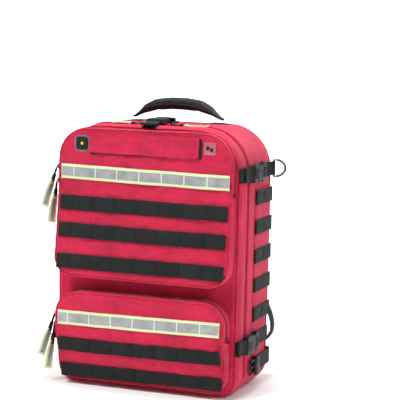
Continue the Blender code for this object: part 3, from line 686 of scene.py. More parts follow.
def lower_face(x, z):
    """Where the lower pocket's front cloth is."""
    lean = LOWER_SHALLOW_Y - LOWER_FACE_Y
    share = max(0.0, (LOWER_SPLIT + 4 - z) / (LOWER_SPLIT + 4 - LOWER_LOW))
    y = LOWER_FACE_Y + lean * share * smooth_step(share, -0.06, 0.25)
    crown = 2.6 * max(0, 1 - (x / 146) ** 2) * smooth_step(z, 10, 50) * (1 - smooth_step(z, 98, 164))
    y -= crown + sewn_columns(x, z, 15, 100) + soft_folds(x, z, 9.0)
    corners = ((146, 96, 2.4), (140, 22, 2.0), (145, 52, 1.6))
    y += sum(corner_folds(x, z, *corner) for corner in corners)
    return y


def sewn_columns(x, z, low, high):
    """The billow between the lines that sew the webbing rows down."""
    inside = smooth_step(z, low - 4, low + 4) * (1 - smooth_step(z, high - 4, high + 6))
    across = abs(math.sin(math.pi * (x - TACK_OFFSET) / TACK_PITCH))
    return inside * (1.5 * across**0.5 - 0.8)


def soft_folds(x, z, seed):
    """Broad handling folds, and finer ones where the cloth is free of webbing."""
    broad = 2.0 * wave(x + 0.5 * z, 0, z, (48, 1, 22), seed)
    fine = 1.3 * wave(x + 0.4 * z, 0, z, (15, 1, 8), seed + 3)
    return broad + fine + 0.4 * wave(x, 0, z, (5, 1, 5), seed + 5)


def corner_folds(x, z, corner_x, corner_z, size):
    """Pinched folds that fan out from a sewn corner, on both sides of the pocket."""
    across, up = corner_x - abs(x), z - corner_z
    distance = math.hypot(across, up)
    fade = math.exp(-distance / 17) * (1.0 if x > 0 else 0.5)
    return size * fade * math.sin(6.5 * math.atan2(up, across + 4) + distance / 9)


class Pocket:
    """A zipped front pocket: a cloth tub whose upper part is its flap."""

    def __init__(self, level, half_width, low, high, radii, split, zip_y, face):
        self.level, self.half_width, self.low, self.high = level, half_width, low, high
        self.radii, self.split, self.zip_y, self.face = radii, split, zip_y, face
        start, end = (0, face(0, split) * MM, (split - 10) * MM), (0, face(0, split) * MM, (split + 10) * MM)
        self.bend = ("lid", f"{level}_flap", start, end)

    def outline(self, inset):
        radii = [max(radius - inset, 3) for radius in self.radii]
        return outline(self.half_width - inset, self.low + inset, self.high - inset, *radii)

    def rim_y(self, z):
        """The tub starts at the zip on its flap and at the lid's cloth below."""
        return LID_FRONT_Y + (self.zip_y - 2 - LID_FRONT_Y) * smooth_step(z, self.split - 8, self.split + 2)

    def ring(self, inset, share, push=0.0, swell=0.0):
        flat, outward = self.outline(inset)
        rows = []
        for (x, z), (out_x, out_z) in zip(flat, outward):
            rim = self.rim_y(z)
            y = rim + share * (self.face(x, z) + push - rim)
            heave = swell * (wave(x, y, z, (34, 12, 34), 6.1) + 0.5)
            rows.append((x + out_x * heave, y, z + out_z * heave))
        return np.array(rows)


UPPER_POCKET = Pocket("upper", 157, UPPER_LOW, UPPER_TOP, (34, 52), UPPER_SPLIT, -88, upper_face)
LOWER_POCKET = Pocket("lower", 153, LOWER_LOW, LOWER_TOP, (30, 42), LOWER_SPLIT, -101, lower_face)
POCKETS = (UPPER_POCKET, LOWER_POCKET)


def build_pocket_tub(pocket):
    stations = [(0, 0), (-0.1, 0.2), (0, 0.4), (0.3, 0.6), (1.0, 0.78)]
    stations += [(1.9, 0.9), (3.4, 0.965), (5.4, 0.99), (7.6, 1)]
    outer = [pocket.ring(inset, share, swell=1.1 * math.sin(math.pi * share)) for inset, share in stations]
    outer += cap_rings(outer[-1], [1 - step / 64 for step in range(1, 64)], pocket.face)
    lining = ((2.6, 0), (2.8, 0.5), (4.5, 0.9), (9, 1))
    inner = [pocket.ring(inset, share, push=2.4) for inset, share in lining]
    inner += cap_rings(inner[-1], (0.8, 0.6, 0.4, 0.2, 0.05), lambda x, z: pocket.face(x, z) + 2.4)
    nodes = [f"{pocket.level}_pocket", f"{pocket.level}_flap"]
    tub = shell_piece(f"{pocket.level}_pocket_cloth", outer, inner, pocket.bend, nodes)
    piping = pocket.ring(1.6, 0.92)
    outward = pocket.outline(1.6)[1]
    piping[:, 0] += outward[:, 0] * 0.7
    piping[:, 2] += outward[:, 1] * 0.7
    cord = tube(piping, 1.35, 8, closed=True)
    add_piece(f"{pocket.level}_pocket_piping", *cord, RED, pocket.bend, slot="red_fabric")
    return tub


def build_pocket_zip(pocket):
    """The fixed half of the gusset, the coil that closes it and a tape on each side."""
    flat, outward = arch(pocket.outline(0), pocket.split + 2)
    rear_y, front_y = LID_FRONT_Y + 0.5, pocket.zip_y + 1.8
    gusset = [(rear_y, 0.2), (front_y, 0.2), (front_y, -2), (rear_y, -2)]
    add_piece(f"{pocket.level}_gusset", *seam_band(flat, outward, gusset), RED, "lid", slot="red_fabric")
    rear_y, front_y = pocket.zip_y + 2.6, pocket.zip_y - 1.9
    tape = [(rear_y, -1.0), (rear_y, -0.5), (front_y, -0.5), (front_y, -1.0)]
    add_piece(f"{pocket.level}_zip_tape", *seam_band(flat, outward, tape), RED_TAPE, "lid", slot="red_fabric")
    coil = zip_coil(place_path(flat, outward, pocket.zip_y, 0.2), 1.2)
    add_piece(f"{pocket.level}_zip_coil", *coil, COIL_PLASTIC, "lid", slot="zip_metal")
    for side in (-1, 1):
        out = (side, 0, 0)
        x, y, z = side * pocket.half_width, pocket.zip_y - 1, pocket.split + 5
        tab = block((x + side * 0.6, y, z), ((0, 1, 0), (0, 0, 1), out), (15, 9, 1.4), 0.4)
        marks = [bartack((x + side * 1.3, y, z + step), (0, 1, 0), out, 12) for step in (-3, 3)]
        name = f"{pocket.level}_zip_end_{'left' if side < 0 else 'right'}"
        add_piece(name, *merge([tab] + marks), RED_TAPE, "lid", slot="red_fabric")


def front_strap_path(pocket, z, half, lift, tilt=0.0, step=2.0):
    """Points, across directions and outward directions of a strap that lies on a pocket's face."""
    xs = np.linspace(-half, half, int(2 * half / step) + 1)
    heights = [z - tilt * x / half + 0.5 * wave(x, 0, z, (50, 1, 20), 5.5) for x in xs]
    slope = np.array([(pocket.face(x, z + 11) - pocket.face(x, z - 11)) / 22 for x in xs])
    steps = np.linspace(-12.5, 12.5, 7)
    front = [min(pocket.face(x, height + step) - rise * step for step in steps)
             for x, height, rise in zip(xs, heights, slope)]
    path = np.array([(x, y - lift(x), height) for x, y, height in zip(xs, front, heights)])
    across = np.column_stack([np.zeros(len(xs)), slope, np.ones(len(xs))])
    across /= np.linalg.norm(across, axis=1)[:, None]
    out = np.column_stack([np.zeros(len(xs)), -across[:, 2], across[:, 1]])
    return path, across, out


def row_lift(x):
    """A webbing row stands off the cloth between its tacks."""
    return 0.4 + 0.3 * abs(math.sin(math.pi * (x - TACK_OFFSET) / TACK_PITCH)) ** 0.7


def tack_places(half):
    first = math.ceil((-half + 6 - TACK_OFFSET) / TACK_PITCH)
    last = math.floor((half - 6 - TACK_OFFSET) / TACK_PITCH)
    return [TACK_OFFSET + TACK_PITCH * index for index in range(first, last + 1)]


def build_webbing_rows(pocket, rows, half, tilts):
    straps, tacks, seams = [], [], []
    for z, tilt in zip(rows, tilts):
        path, across, out = front_strap_path(pocket, z, half, row_lift, tilt)
        straps.append(strap(path, across, out, WEBBING, 1.7))
        for x in tack_places(half):
            spot = at_places([x], path[:, 0], path)[0]
            index = int(np.argmin(abs(path[:, 0] - x)))
            tacks.append(bartack(spot + out[index] * 1.75, across[index], out[index], 18, 1.0))
    name = f"{pocket.level}_webbing_rows"
    add_piece(f"{name}_straps", *merge(straps), BLACK_WEB, "lid", slot="webbing", stands_for=[name])
    add_piece(f"{name}_tacks", *merge(tacks), BLACK_CLOTH, "lid", slot="webbing")
    top = max(rows) + 20
    bottom = min(rows) - 16
    for x in tack_places(half):
        path = [(x, pocket.face(x, z) + 0.05, z) for z in np.arange(bottom, top, STITCH_PITCH)]
        seams.append(straight_run(np.array(path), FORWARD, 2.2, 0.32))
    add_piece(f"{pocket.level}_column_stitching", *merge(seams), RED_THREAD, "lid", slot="red_fabric")


def at_places(wanted, places, rows):
    """Rows of three numbers known at some places, read between them at others."""
    return np.column_stack([np.interp(wanted, places, rows[:, axis]) for axis in range(3)])


def build_band(pocket, z, half, tilt):
    """A lime tape with grey reflective panels between lime dividers."""
    node = f"{pocket.level}_reflective_band"
    body = f"{pocket.level}_flap"
    path, across, out = front_strap_path(pocket, z, half, lambda x: 0.25, tilt)
    tape = strap(path, across, out, WEBBING, 0.9, 0.4)
    add_piece(f"{node}_tape", *tape, LIME, body, slot="reflective_tape", stands_for=[node])
    edges = [-half] + [x + 0.3 for x in tack_places(half - 8)] + [half]
    panels = []
    for left, right in zip(edges, edges[1:]):
        xs = [left + 1.0] + [x for x in path[:, 0] if left + 1.6 < x < right - 1.6] + [right - 1.0]
        run, side, lift = (at_places(xs, path[:, 0], rows) for rows in (path, across, out))
        panels.append(strap(run + lift * 0.85, side, lift, WEBBING - 9.0, 0.35, 0.3))
    add_piece(f"{node}_panels", *merge(panels), SILVER, body, slot="reflective_tape")
    seams = []
    for offset in (-11.6, 11.6):
        run = resample(path + across * offset + out * 0.9, STITCH_PITCH)
        seams.append(straight_run(run, FORWARD, 2.2, 0.22))
    add_piece(f"{node}_stitching", *merge(seams), LIME, body, slot="reflective_tape")


# What is sewn on the upper flap


def cloth_slab(us, vs, place, out, thickness):
    """A closed sheet: place(u, v) gives its front, and out is the direction that its front faces."""
    out = np.array(out, float)
    front = np.array([[place(u, v) for v in vs] for u in us], float)
    rings = []
    for row in front:
        back = row[::-1] - out * thickness
        rings.append(np.vstack([row, back]))
    return skin(rings)


def build_id_cover():
    """A cover hung from its top edge, over a black panel that shows along its right side and, as painted
    shadow, along its foot.
    """
    cover_low, cover_high = node_box("id_flap")
    low, high = cover_low[2], cover_high[2]
    left, right = cover_low[0], cover_high[0] - 1

    def wavy(x, z):
        loose = smooth_step(high - z, 4, 34)
        wave_out = 2.6 * wave(x, 0, 0, (34, 1, 1), 8.8) + 1.1 * wave(x, 0, z, (12, 1, 14), 2.4)
        return upper_face(x, z) - 2.1 - loose * max(0.2, 1.6 + wave_out)

    def hem(x, z):
        """The loose foot dips and lifts along its length."""
        return z + 2.2 * (high - z) / (high - low) * wave(x, 0, 0, (38, 1, 1), 3.3)

    xs, zs = np.linspace(left, right, 90), np.linspace(low, high, 16)
    cover = cloth_slab(xs, zs, lambda x, z: (x, wavy(x, z), hem(x, z)), (0, -1, 0), 1.1)
    piece = add_piece("id_cover_cloth", *cover, RED, "id_cover", slot="red_fabric", stands_for=["id_flap"])
    runs = [[(x, z) for x in np.arange(left + 3, right - 3, STITCH_PITCH)] for z in (high - 3, low + 3)]
    runs += [[(x, z) for z in np.arange(low + 3, high - 3, STITCH_PITCH)] for x in (left + 3, right - 3)]
    seams = []
    for run in runs:
        path = np.array([(x, wavy(x, z) - 0.05, hem(x, z)) for x, z in run])
        seams.append(straight_run(path, FORWARD, 2.1, 0.28))
    stitching = add_piece("id_cover_stitching", *merge(seams), RED_THREAD, "id_cover", slot="red_fabric")
    # The strip of this black panel that shows under the cover's wavy foot is painted shadow of the loose hem;
    # along the right side it is the panel itself.
    xs, zs = np.linspace(left + 1, right + 4.8, 60), np.linspace(low - 1.6, high - 2, 10)
    window = cloth_slab(xs, zs, lambda x, z: (x, upper_face(x, z) - 0.9, z), (0, -1, 0), 0.7)
    add_piece("id_window", *window, BLACK_CLOTH, "upper_flap", slot="webbing")


def rounded_plate(centre_x, centre_z, half_x, half_z, radius, back_y, levels):
    """A rounded plate facing forward; levels are (inset, proud) pairs from its back edge to its face."""
    rings = []
    for inset, proud in levels:
        ring = []
        for corner_x, corner_z, start in ((1, -1, -90), (1, 1, 0), (-1, 1, 90), (-1, -1, 180)):
            for angle in np.radians(start + np.linspace(0, 90, 6)):
                x = corner_x * (half_x - radius) + (radius - inset) * math.cos(angle)
                z = corner_z * (half_z - radius) + (radius - inset) * math.sin(angle)
                ring.append((centre_x + x, back_y - proud, centre_z + z))
        rings.append(np.array(ring))
    return skin(rings)


def build_patches():
    """Two plain rubber patches: a dark one with a yellow lozenge, and a pale one with two bars."""
    x, z = ROUND_PATCH
    back = upper_face(x, z) + 1.0
    rim = rounded_plate(x, z, 14.2, 14.2, 9.5, back, ((0, 0), (0, 1.7), (0.5, 2.2), (2.2, 2.2), (2.8, 1.6)))
    add_piece("round_patch_rim", *rim, PATCH_GREY, "upper_flap", slot="red_fabric")
    field = rounded_plate(x, z, 10.8, 10.8, 3.4, back, ((0, 1.0), (0, 2.1), (0.4, 2.4)))
    add_piece("round_patch_field", *field, PATCH_RUBBER, "upper_flap", slot="black_plastic")
    turned = ((0.707, 0, 0.707), (-0.707, 0, 0.707), FORWARD)
    lozenge = block((x, back - 2.4, z), turned, (4.4, 4.4, 1.2), 0.3)
    add_piece("round_patch_lozenge", *lozenge, PATCH_YELLOW, "upper_flap", slot="pull_tab")
    x, z = SQUARE_PATCH
    plate = rounded_plate(x, z, 10.5, 10.5, 2.4, back, ((0, 0), (0, 1.8), (0.5, 2.3), (1.4, 2.3), (1.8, 1.9)))
    add_piece("square_patch", *plate, PATCH_PINK, "upper_flap", slot="red_fabric")
    leaning = ((1, 0, -0.3), (0.3, 0, 1), FORWARD)
    bars = [block((x + aside, back - 2.1, z + up), leaning, (5, 6, 0.9), 0.4)
            for aside, up in ((-3.2, 1.2), (3.2, -1.6))]
    add_piece("square_patch_bars", *merge(bars), PATCH_RUBBER, "upper_flap", slot="black_plastic")


# The sides: webbing panels, compression straps, buckles and D-rings

SIDES = ((-1, "left"), (1, "right"))
CLOSED_UPPER, CLOSED_LOWER, CLOSED_TOP = 16, 2, 0
BUCKLE_LENGTH, PLUG_LENGTH, BUCKLE_LIFT = 40, 17, 2.3


def side_point(side, out, y, z):
    return side * (HALF_WIDTH + out), y, z


def build_side_panel(side, label):
    """Webbing rows sewn over a red panel."""
    low, high, front, rear = 117, 347, -6, 76
    name = f"side_webbing_{label}"

    def cloth(y, z):
        out = 1.5 + 0.9 * wave(side * 20, y, z, (1, 16, 12), 4.4)
        out += 0.5 * wave(side * 20, y, z, (1, 8, 5), 9.1)
        edge = smooth_step(y, front, front + 6) * (1 - smooth_step(y, rear - 6, rear))
        return side_point(side, 0.9 + edge * out, y, z)

    ys, zs = np.linspace(front, rear, 30), np.linspace(low, high, 84)
    backing = cloth_slab(ys, zs, cloth, (side, 0, 0), 1.0)
    add_piece(f"{name}_cloth", *backing, RED, "pack", slot="red_fabric")
    straps, tacks = [], []
    for z in SIDE_ROWS:
        ys = np.linspace(front - 1, rear + 1, 42)
        lifts = [2.1 + 0.5 * abs(math.sin(math.pi * (y - 35) / TACK_PITCH)) ** 0.7 for y in ys]
        heights = [z + 0.6 * wave(0, y, z, (1, 40, 9), side) for y in ys]
        path = [side_point(side, lift, y, height) for y, lift, height in zip(ys, lifts, heights)]
        straps.append(strap(path, (0, 0, 1), (side, 0, 0), WEBBING, 1.7))
        for y in (front + 1.5, 35, rear - 1.5):
            tacks.append(bartack(side_point(side, 3.9, y, z), (0, 0, 1), (side, 0, 0), 21, 1.6))
    add_piece(f"{name}_rows", *merge(straps), BLACK_WEB, "pack", slot="webbing", stands_for=[name])
    add_piece(f"{name}_tacks", *merge(tacks), BLACK_CLOTH, "pack", slot="webbing")


def flat_ribbon(path, place, width, thickness, flip=1):
    """A strap from a 2D (along, out) path that place(along, across, out) puts on the pack."""
    path = np.array(path, float)
    tangents = np.gradient(path, axis=0)
    tangents /= np.linalg.norm(tangents, axis=1)[:, None]
    normals = np.column_stack([-tangents[:, 1], tangents[:, 0]]) * flip
    origin = np.array(place(0, 0, 0), float)
    axes = [np.array(place(*unit), float) - origin for unit in np.eye(3)]
    points = np.array([place(a, 0, o) for a, o in path])
    outs = np.array([axes[0] * a + axes[2] * o for a, o in normals])
    return strap(points, axes[1], outs, width, thickness)


def side_place(side, z):
    return lambda along, across, out: (side * (HALF_WIDTH + out), along, z + across)


def top_place(along, across, out):
    return across, along, HEIGHT + out


def rear_strap(place, closed, end):
    """Webbing that is sewn to the shell and rises to the middle of its buckle socket."""
    path = chaikin([(end, 0.6), (closed + 22, 0.6), (closed + 12, 1.2), (closed + 5, 4.6), (closed - 3, 5.4)])
    parts = [flat_ribbon(resample(path, 2), place, WEBBING, 1.5, -1)]
    fold = chaikin([(closed + 4, 6.6), (closed + 9, 6.0), (closed + 15, 2.9), (closed + 27, 2.3)])
    parts.append(flat_ribbon(resample(fold, 2), place, WEBBING - 0.6, 1.2, 1))
    return merge(parts)


def front_strap(seam, place):
    """The fixed part of a front strap, from its seam to under the plug."""
    return flat_ribbon(resample(chaikin(seam), 2), place, WEBBING, 1.5, 1)


def strap_tail(mouth, place):
    """The loose end that runs through the plug and folds back over the fixed part."""
    bar = mouth - PLUG_LENGTH
    points = [(5, 5.2), (-2, 5.0), (-6, 3.6), (-6, 3.4), (-12, 2.5), (-30, 2.3)]
    path = chaikin([(bar + along, out) for along, out in points])
    tail = flat_ribbon(resample(path, 2), place, WEBBING, 1.4, -1)
    fold = chaikin([(bar + 3, 7.4), (bar - 4, 7.4), (bar - 10, 5.0), (bar - 26, 4.2), (bar - 29, 4.4)])
    return merge([tail, flat_ribbon(resample(fold, 2), place, WEBBING - 0.5, 1.4, -1)])


def buckle_ribs(place, centre, lift, count=3):
    """Raised grip ribs and a rim on a buckle's outer plate."""
    origin = np.array(place(0, 0, 0), float)
    along, across, out = (np.array(place(*unit), float) - origin for unit in np.eye(3))
    ribs = []
    for index in range(count):
        spot = np.array(place(centre + (index - (count - 1) / 2) * 3.4, 0, lift), float)
        ribs.append(block(spot, (along, across, out), (1.5, 17, 1.1), 0.35))
    return merge(ribs)


def finer_copy(node, name, material, body, bevel=0.7, extra=None, slot="black_plastic"):
    """A moulded piece: the CAD node's shape with its edges rounded, and extra raised detail."""
    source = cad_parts[node].data.copy()
    shape = bmesh.new()
    shape.from_mesh(source)
    bmesh.ops.remove_doubles(shape, verts=shape.verts, dist=0.00002)
    bmesh.ops.dissolve_limit(shape, angle_limit=math.radians(2), verts=shape.verts, edges=shape.edges)
    shape.to_mesh(source)
    shape.free()
    source.materials.clear()
    source.materials.append(material)
    piece = bpy.data.objects.new(name, source)
    bpy.context.scene.collection.objects.link(piece)
    rounding = piece.modifiers.new("rounding", "BEVEL")
    rounding.width = bevel * MM
    rounding.segments = 2
    rounding.limit_method = "ANGLE"
    rounding.angle_limit = math.radians(35)
    bake_modifiers(piece)
    if extra:
        join_mesh(piece, *extra)
    piece.data.shade_smooth()
    piece.data.set_sharp_from_angle(angle=math.radians(40))
    return settle(piece, body, slot, [node])


def bake_modifiers(piece):
    """Replaces a piece's mesh with what its modifiers make of it."""
    graph = bpy.context.evaluated_depsgraph_get()
    made = bpy.data.meshes.new_from_object(piece.evaluated_get(graph), depsgraph=graph)
    piece.modifiers.clear()
    piece.data = made


def join_mesh(piece, points, faces):
    """Adds points in millimetres and their faces to a piece's mesh."""
    shape = bmesh.new()
    shape.from_mesh(piece.data)
    made = [shape.verts.new([value * MM for value in point]) for point in points]
    for face in faces:
        shape.faces.new([made[index] for index in face])
    shape.to_mesh(piece.data)
    shape.free()


def build_compression_strap(label, place, closed, seam, rear_end, stands_for=()):
    """One strap with its buckle: the socket stays with the pack, and the plug slides out towards the lid."""
    mouth = closed - BUCKLE_LENGTH - 0.3
    top = BUCKLE_LIFT + 9
    socket, plug = f"buckle_socket_{label}", f"buckle_plug_{label}"
    finer_copy(socket, f"{socket}_body", BUCKLE_PLASTIC, "pack", extra=buckle_ribs(place, closed - 8, top))
    finer_copy(plug, f"{plug}_body", BUCKLE_PLASTIC, plug, extra=buckle_ribs(place, mouth - 8, top))
    rear = rear_strap(place, closed, rear_end)
    add_piece(f"rear_strap_{label}_webbing", *rear, BLACK_WEB, "pack", slot="webbing", stands_for=stands_for)
    node = "top_front_strap" if label == "top" else f"front_strap_{label}"
    front = front_strap(seam, place)
    add_piece(f"{node}_webbing", *front, BLACK_WEB, "lid", slot="webbing", stands_for=[node])
    tail = add_piece(f"{node}_tail", *strap_tail(mouth, place), BLACK_WEB, plug, slot="webbing")
    origin, ahead = Vector(place(0, 0, 0)), Vector(place(1, 0, 0))
    anchor = [value * MM for value in place(mouth - PLUG_LENGTH, 0, 3)]
    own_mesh(tail)


def build_straps():
    levels = (("upper", UPPER_STRAP_Z, CLOSED_UPPER, 66), ("lower", LOWER_STRAP_Z, CLOSED_LOWER, 76))
    for side, label in SIDES:
        for level, z, closed, end in levels:
            mouth = closed - BUCKLE_LENGTH - 2.3
            seam = [(-81.5, -3.2), (-76, -0.3), (-69, 0.5), (mouth, 0.5)]
            build_compression_strap(f"{level}_{label}", side_place(side, z), closed, seam, end)
    seam = [(-82, -3.0), (-76, 0.1), (-69, 0.5), (-43, 0.5)]
    build_compression_strap("top", top_place, CLOSED_TOP, seam, 24, ["top_rear_strap"])


RING_OUT, RING_Y, RING_RAKE = 5.2, 77, math.radians(20)


def build_d_ring(side, label):
    """A grey ring whose straight bar turns in a loop of the upper strap."""
    half_height, reach = 14.3, 20
    profile = [(0, -half_height), (0, 0), (0, half_height)]
    turns = np.linspace(1.35, -1.35, 23)
    profile += [(3 + (reach - 3) * math.cos(turn), half_height * math.sin(turn)) for turn in turns]
    path = []
    for out, up in profile:
        x = side * (HALF_WIDTH + RING_OUT + out * math.cos(RING_RAKE))
        path.append((x, RING_Y + out * math.sin(RING_RAKE), UPPER_STRAP_Z + up))
    node = f"d_ring_{label}"
    ring = tube(path, 2.25, 12, closed=True)
    add_piece(f"{node}_wire", *ring, RING_PLASTIC, node, slot="ring_plastic", stands_for=[node])
    turns = np.radians(np.linspace(185, -70, 18))
    loop = [(56, 0.5), (66, 0.7), (72, 1.6)]
    loop += [(RING_Y + 2.9 * math.sin(t), RING_OUT + 2.9 * math.cos(t)) for t in turns]
    loop += [(70.5, 4.6), (66, 3.0), (52, 2.5)]
    place = side_place(side, UPPER_STRAP_Z)
    wrap = flat_ribbon(resample(chaikin(loop, 1), 1.2), place, 23.5, 1.4, 1)
    tack = bartack(place(60, 0, 4.1), (0, 0, 1), (side, 0, 0), 20, 1.8)
    add_piece(f"{node}_loop", *merge([wrap, tack]), BLACK_WEB, "pack", slot="webbing")


# Handle, back panel and harness


def puffed(node, name, material, body, voxel, shrink, cap, pinned, slot="harness_padding", pressure=4.0):
    """A stuffed piece in a CAD solid's place: its cloth is blown up from a slightly smaller shape."""
    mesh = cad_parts[node].data.copy()
    mesh.materials.clear()
    mesh.materials.append(material)
    piece = bpy.data.objects.new(name, mesh)
    bpy.context.scene.collection.objects.link(piece)
    remesh = piece.modifiers.new("even_cells", "REMESH")
    remesh.mode, remesh.voxel_size = "VOXEL", voxel * MM
    thinner = piece.modifiers.new("thinner", "DISPLACE")
    thinner.strength, thinner.mid_level = -shrink * MM, 0
    bake_modifiers(piece)
    blow_up(piece, cap, pinned, pressure)
    smoother = piece.modifiers.new("finer", "SUBSURF")
    smoother.levels = smoother.render_levels = 1
    bake_modifiers(piece)
    piece.data.shade_smooth()
    settle(piece, body, slot, [node])
    return piece


def blow_up(piece, cap, pinned, pressure):
    """Runs the cloth for 20 frames, then keeps each point within cap millimetres of where it started."""
    rest = np.array([vertex.co for vertex in piece.data.vertices])
    held = piece.vertex_groups.new(name="held")
    for index, point in enumerate(rest / MM):
        if pinned(*point):
            held.add([index], 1.0, "REPLACE")
    cloth = piece.modifiers.new("cloth", "CLOTH")
    cloth.settings.quality = 6
    cloth.settings.use_pressure = True
    cloth.settings.uniform_pressure_force = pressure
    cloth.settings.vertex_group_mass = "held"
    cloth.settings.effector_weights.gravity = 0
    cloth.collision_settings.use_collision = False
    scene = bpy.context.scene
    for step in range(1, 21):
        scene.frame_set(step)
    graph = bpy.context.evaluated_depsgraph_get()
    blown = piece.evaluated_get(graph).to_mesh()
    moved = np.array([vertex.co for vertex in blown.vertices]) - rest
    piece.evaluated_get(graph).to_mesh_clear()
    size = np.linalg.norm(moved, axis=1)
    limit = cap * MM
    moved *= (np.minimum(size, limit) / np.maximum(size, 1e-9))[:, None]
    piece.modifiers.clear()
    piece.data.vertices.foreach_set("co", (rest + moved).ravel())
    piece.data.update()
    scene.frame_set(1)


HANDLE_LOW, HANDLE_HIGH = node_box("carry_handle")
HANDLE_Y = (HANDLE_LOW[1] + HANDLE_HIGH[1]) / 2
HANDLE_AXIS_Z = HEIGHT + 6.5


def build_handle():
    """A padded grip on two webbing ends that are sewn flat to the roof."""
    puffed("carry_handle", "handle_grip", GRIP_CLOTH, "handle", 3.0, -0.3, 4.5, lambda x, y, z: abs(x) > 72,
           pressure=9.0)
    crest = [(-70, 5), (-58, 14), (-40, 21), (-15, 24.5), (15, 24.5), (40, 21), (58, 14), (70, 5)]
    smooth = resample(chaikin([(x, HANDLE_AXIS_Z + rise) for x, rise in crest], 3), 2)
    seams = []
    for offset in (-16, 16):
        path = [(x, HANDLE_Y + offset * smooth_step(76 - abs(x), 0, 26), z) for x, z in smooth]
        seams.append(tube(path, 1.6, 8))
    add_piece("handle_piping", *merge(seams), BLACK_CLOTH, "handle", slot="harness_padding")
    for side, label in SIDES:
        roof = ((64, 1.2), (78, 1.1), (92, 0.3), (108, -2.6), (122, -8.5))
        path = resample(chaikin([(side * x, HANDLE_Y, HEIGHT + rise) for x, rise in roof]), 2)
        out = np.cross(frames_along(path), (0, 1, 0)) * -side
        tab = strap(path, (0, 1, 0), out, WEBBING, 1.4)
        ends = [bartack(path[index] + out[index] * 1.5, (0, 1, 0), out[index], 21, 2) for index in (-3, -9)]
        add_piece(f"handle_anchor_{label}", *merge([tab] + ends), BLACK_WEB, "pack", slot="webbing")


def build_back_pad():
    """Two air-mesh columns with sewn channels, the piping round them and the yoke the shoulders hang from."""

    def channel(x, y, z):
        across = min(abs(z - level) for level in (72, 168, 264, 360)) < 3.0
        return across or abs(x) < 18 or z < 30 or z > 418 or abs(x) > 144

    puffed("back_pad", "back_pad_cushion", AIR_MESH, "pack", 5.0, 2.0, 4.0, channel, pressure=5.0)
    flat = outline(142, 28, 420, 34, 40)[0]
    rim = [(x, BACK_Y + 5, z) for x, z in flat]
    add_piece("back_pad_piping", *tube(rim, 2.8, 8, closed=True), BLACK_CLOTH, "pack", slot="harness_padding")
    yoke = block((0, BACK_Y + 3.2, 431), UPRIGHT, (184, 5.6, 12), 1.6)
    seams = []
    for z in (427.5, 434.5):
        run = np.array([(x, BACK_Y + 6.1, z) for x in np.arange(-88, 88, STITCH_PITCH)])
        seams.append(straight_run(run, REARWARD, 2.2, 0.4))
    add_piece("shoulder_yoke", *merge([yoke] + seams), BLACK_CLOTH, "pack", slot="webbing")


def shoulder_centre(z):
    """How far a shoulder pad's middle is from the pack's middle at a height."""
    return 62 + 64 * max((430 - z) / 250, 0) ** 1.4


def build_shoulder(side, label):
    """A pad with bound edges, webbing sewn down its middle and an adjuster at its end."""
    node, body = f"shoulder_strap_{label}", f"shoulder_{label}"

    def edge(x, y, z):
        return abs(x - side * shoulder_centre(z)) > 24 or z > 424 or z < 188

    puffed(node, f"{node}_pad", AIR_MESH, body, 4.5, 1.4, 1.8, edge)
    pad_low, pad_high = node_box(node)
    middle_y = (pad_low[1] + pad_high[1]) / 2
    levels = ((430, 27), (380, 31), (330, 32), (270, 31), (220, 27), (180, 18))
    right = [(side * shoulder_centre(z) + half - 0.6, middle_y, z) for z, half in levels]
    left = [(side * shoulder_centre(z) - half + 0.6, middle_y, z) for z, half in reversed(levels)]
    binding = tube(resample(np.vstack([chaikin(right), chaikin(left)]), 4), 2.0, 8, closed=True)
    add_piece(f"{node}_binding", *binding, BLACK_CLOTH, body, slot="harness_padding")
    path = np.array([(side * shoulder_centre(z), pad_high[1] + 0.3, z) for z in np.linspace(427, 184, 80)])
    across = np.cross(REARWARD, frames_along(path))
    layers = [strap(path, across, REARWARD, WEBBING - 3, 1.1)]
    for index in range(4, 80, 11):
        layers.append(bartack(path[index] + (0, 1.2, 0), across[index], REARWARD, 18, 1.6))
    add_piece(f"{node}_webbing", *merge(layers), BLACK_WEB, body, slot="webbing")
    build_ladder_lock(f"ladder_lock_{label}", body)
    build_shoulder_webbing(side, label)


def build_ladder_lock(node, body):
    """A moulded adjuster with raised bars."""
    low, high = node_box(node)
    bars = [block(((low[0] + high[0]) / 2, high[1], high[2] - drop), UPRIGHT, (24, 1.6, 2.2), 0.5)
            for drop in (2.5, 12.5, 17.5)]
    finer_copy(node, f"{node}_body", BUCKLE_PLASTIC, body, bevel=0.9, extra=merge(bars))


def build_shoulder_webbing(side, label):
    """The slack webbing that bows out from the adjuster to the pack's lower corner."""
    node = f"shoulder_webbing_{label}"
    low, high = node_box(node)
    middle_y, width = (low[1] + high[1]) / 2, high[1] - low[1]
    corners = ((128, 157), (145, 143), (160, 120), (168, 93), (164, 72), (150, 59))
    path = resample(chaikin([(side * x, middle_y, z) for x, z in corners], 3), 2)
    out = np.cross(frames_along(path), (0, 1, 0)) * -side
    layers = [strap(path, REARWARD, out, width, 1.6)]
    for end in (slice(0, 14), slice(len(path) - 14, len(path))):
        layers.append(strap(path[end] + out[end] * 1.5, REARWARD, out[end], width - 0.8, 1.3))
    for index in (3, 11, -4, -11):
        layers.append(bartack(path[index] + out[index] * 2.9, REARWARD, out[index], width - 3, 1.8))
    add_piece(f"{node}_ribbon", *merge(layers), BLACK_WEB, node, slot="webbing", stands_for=[node])


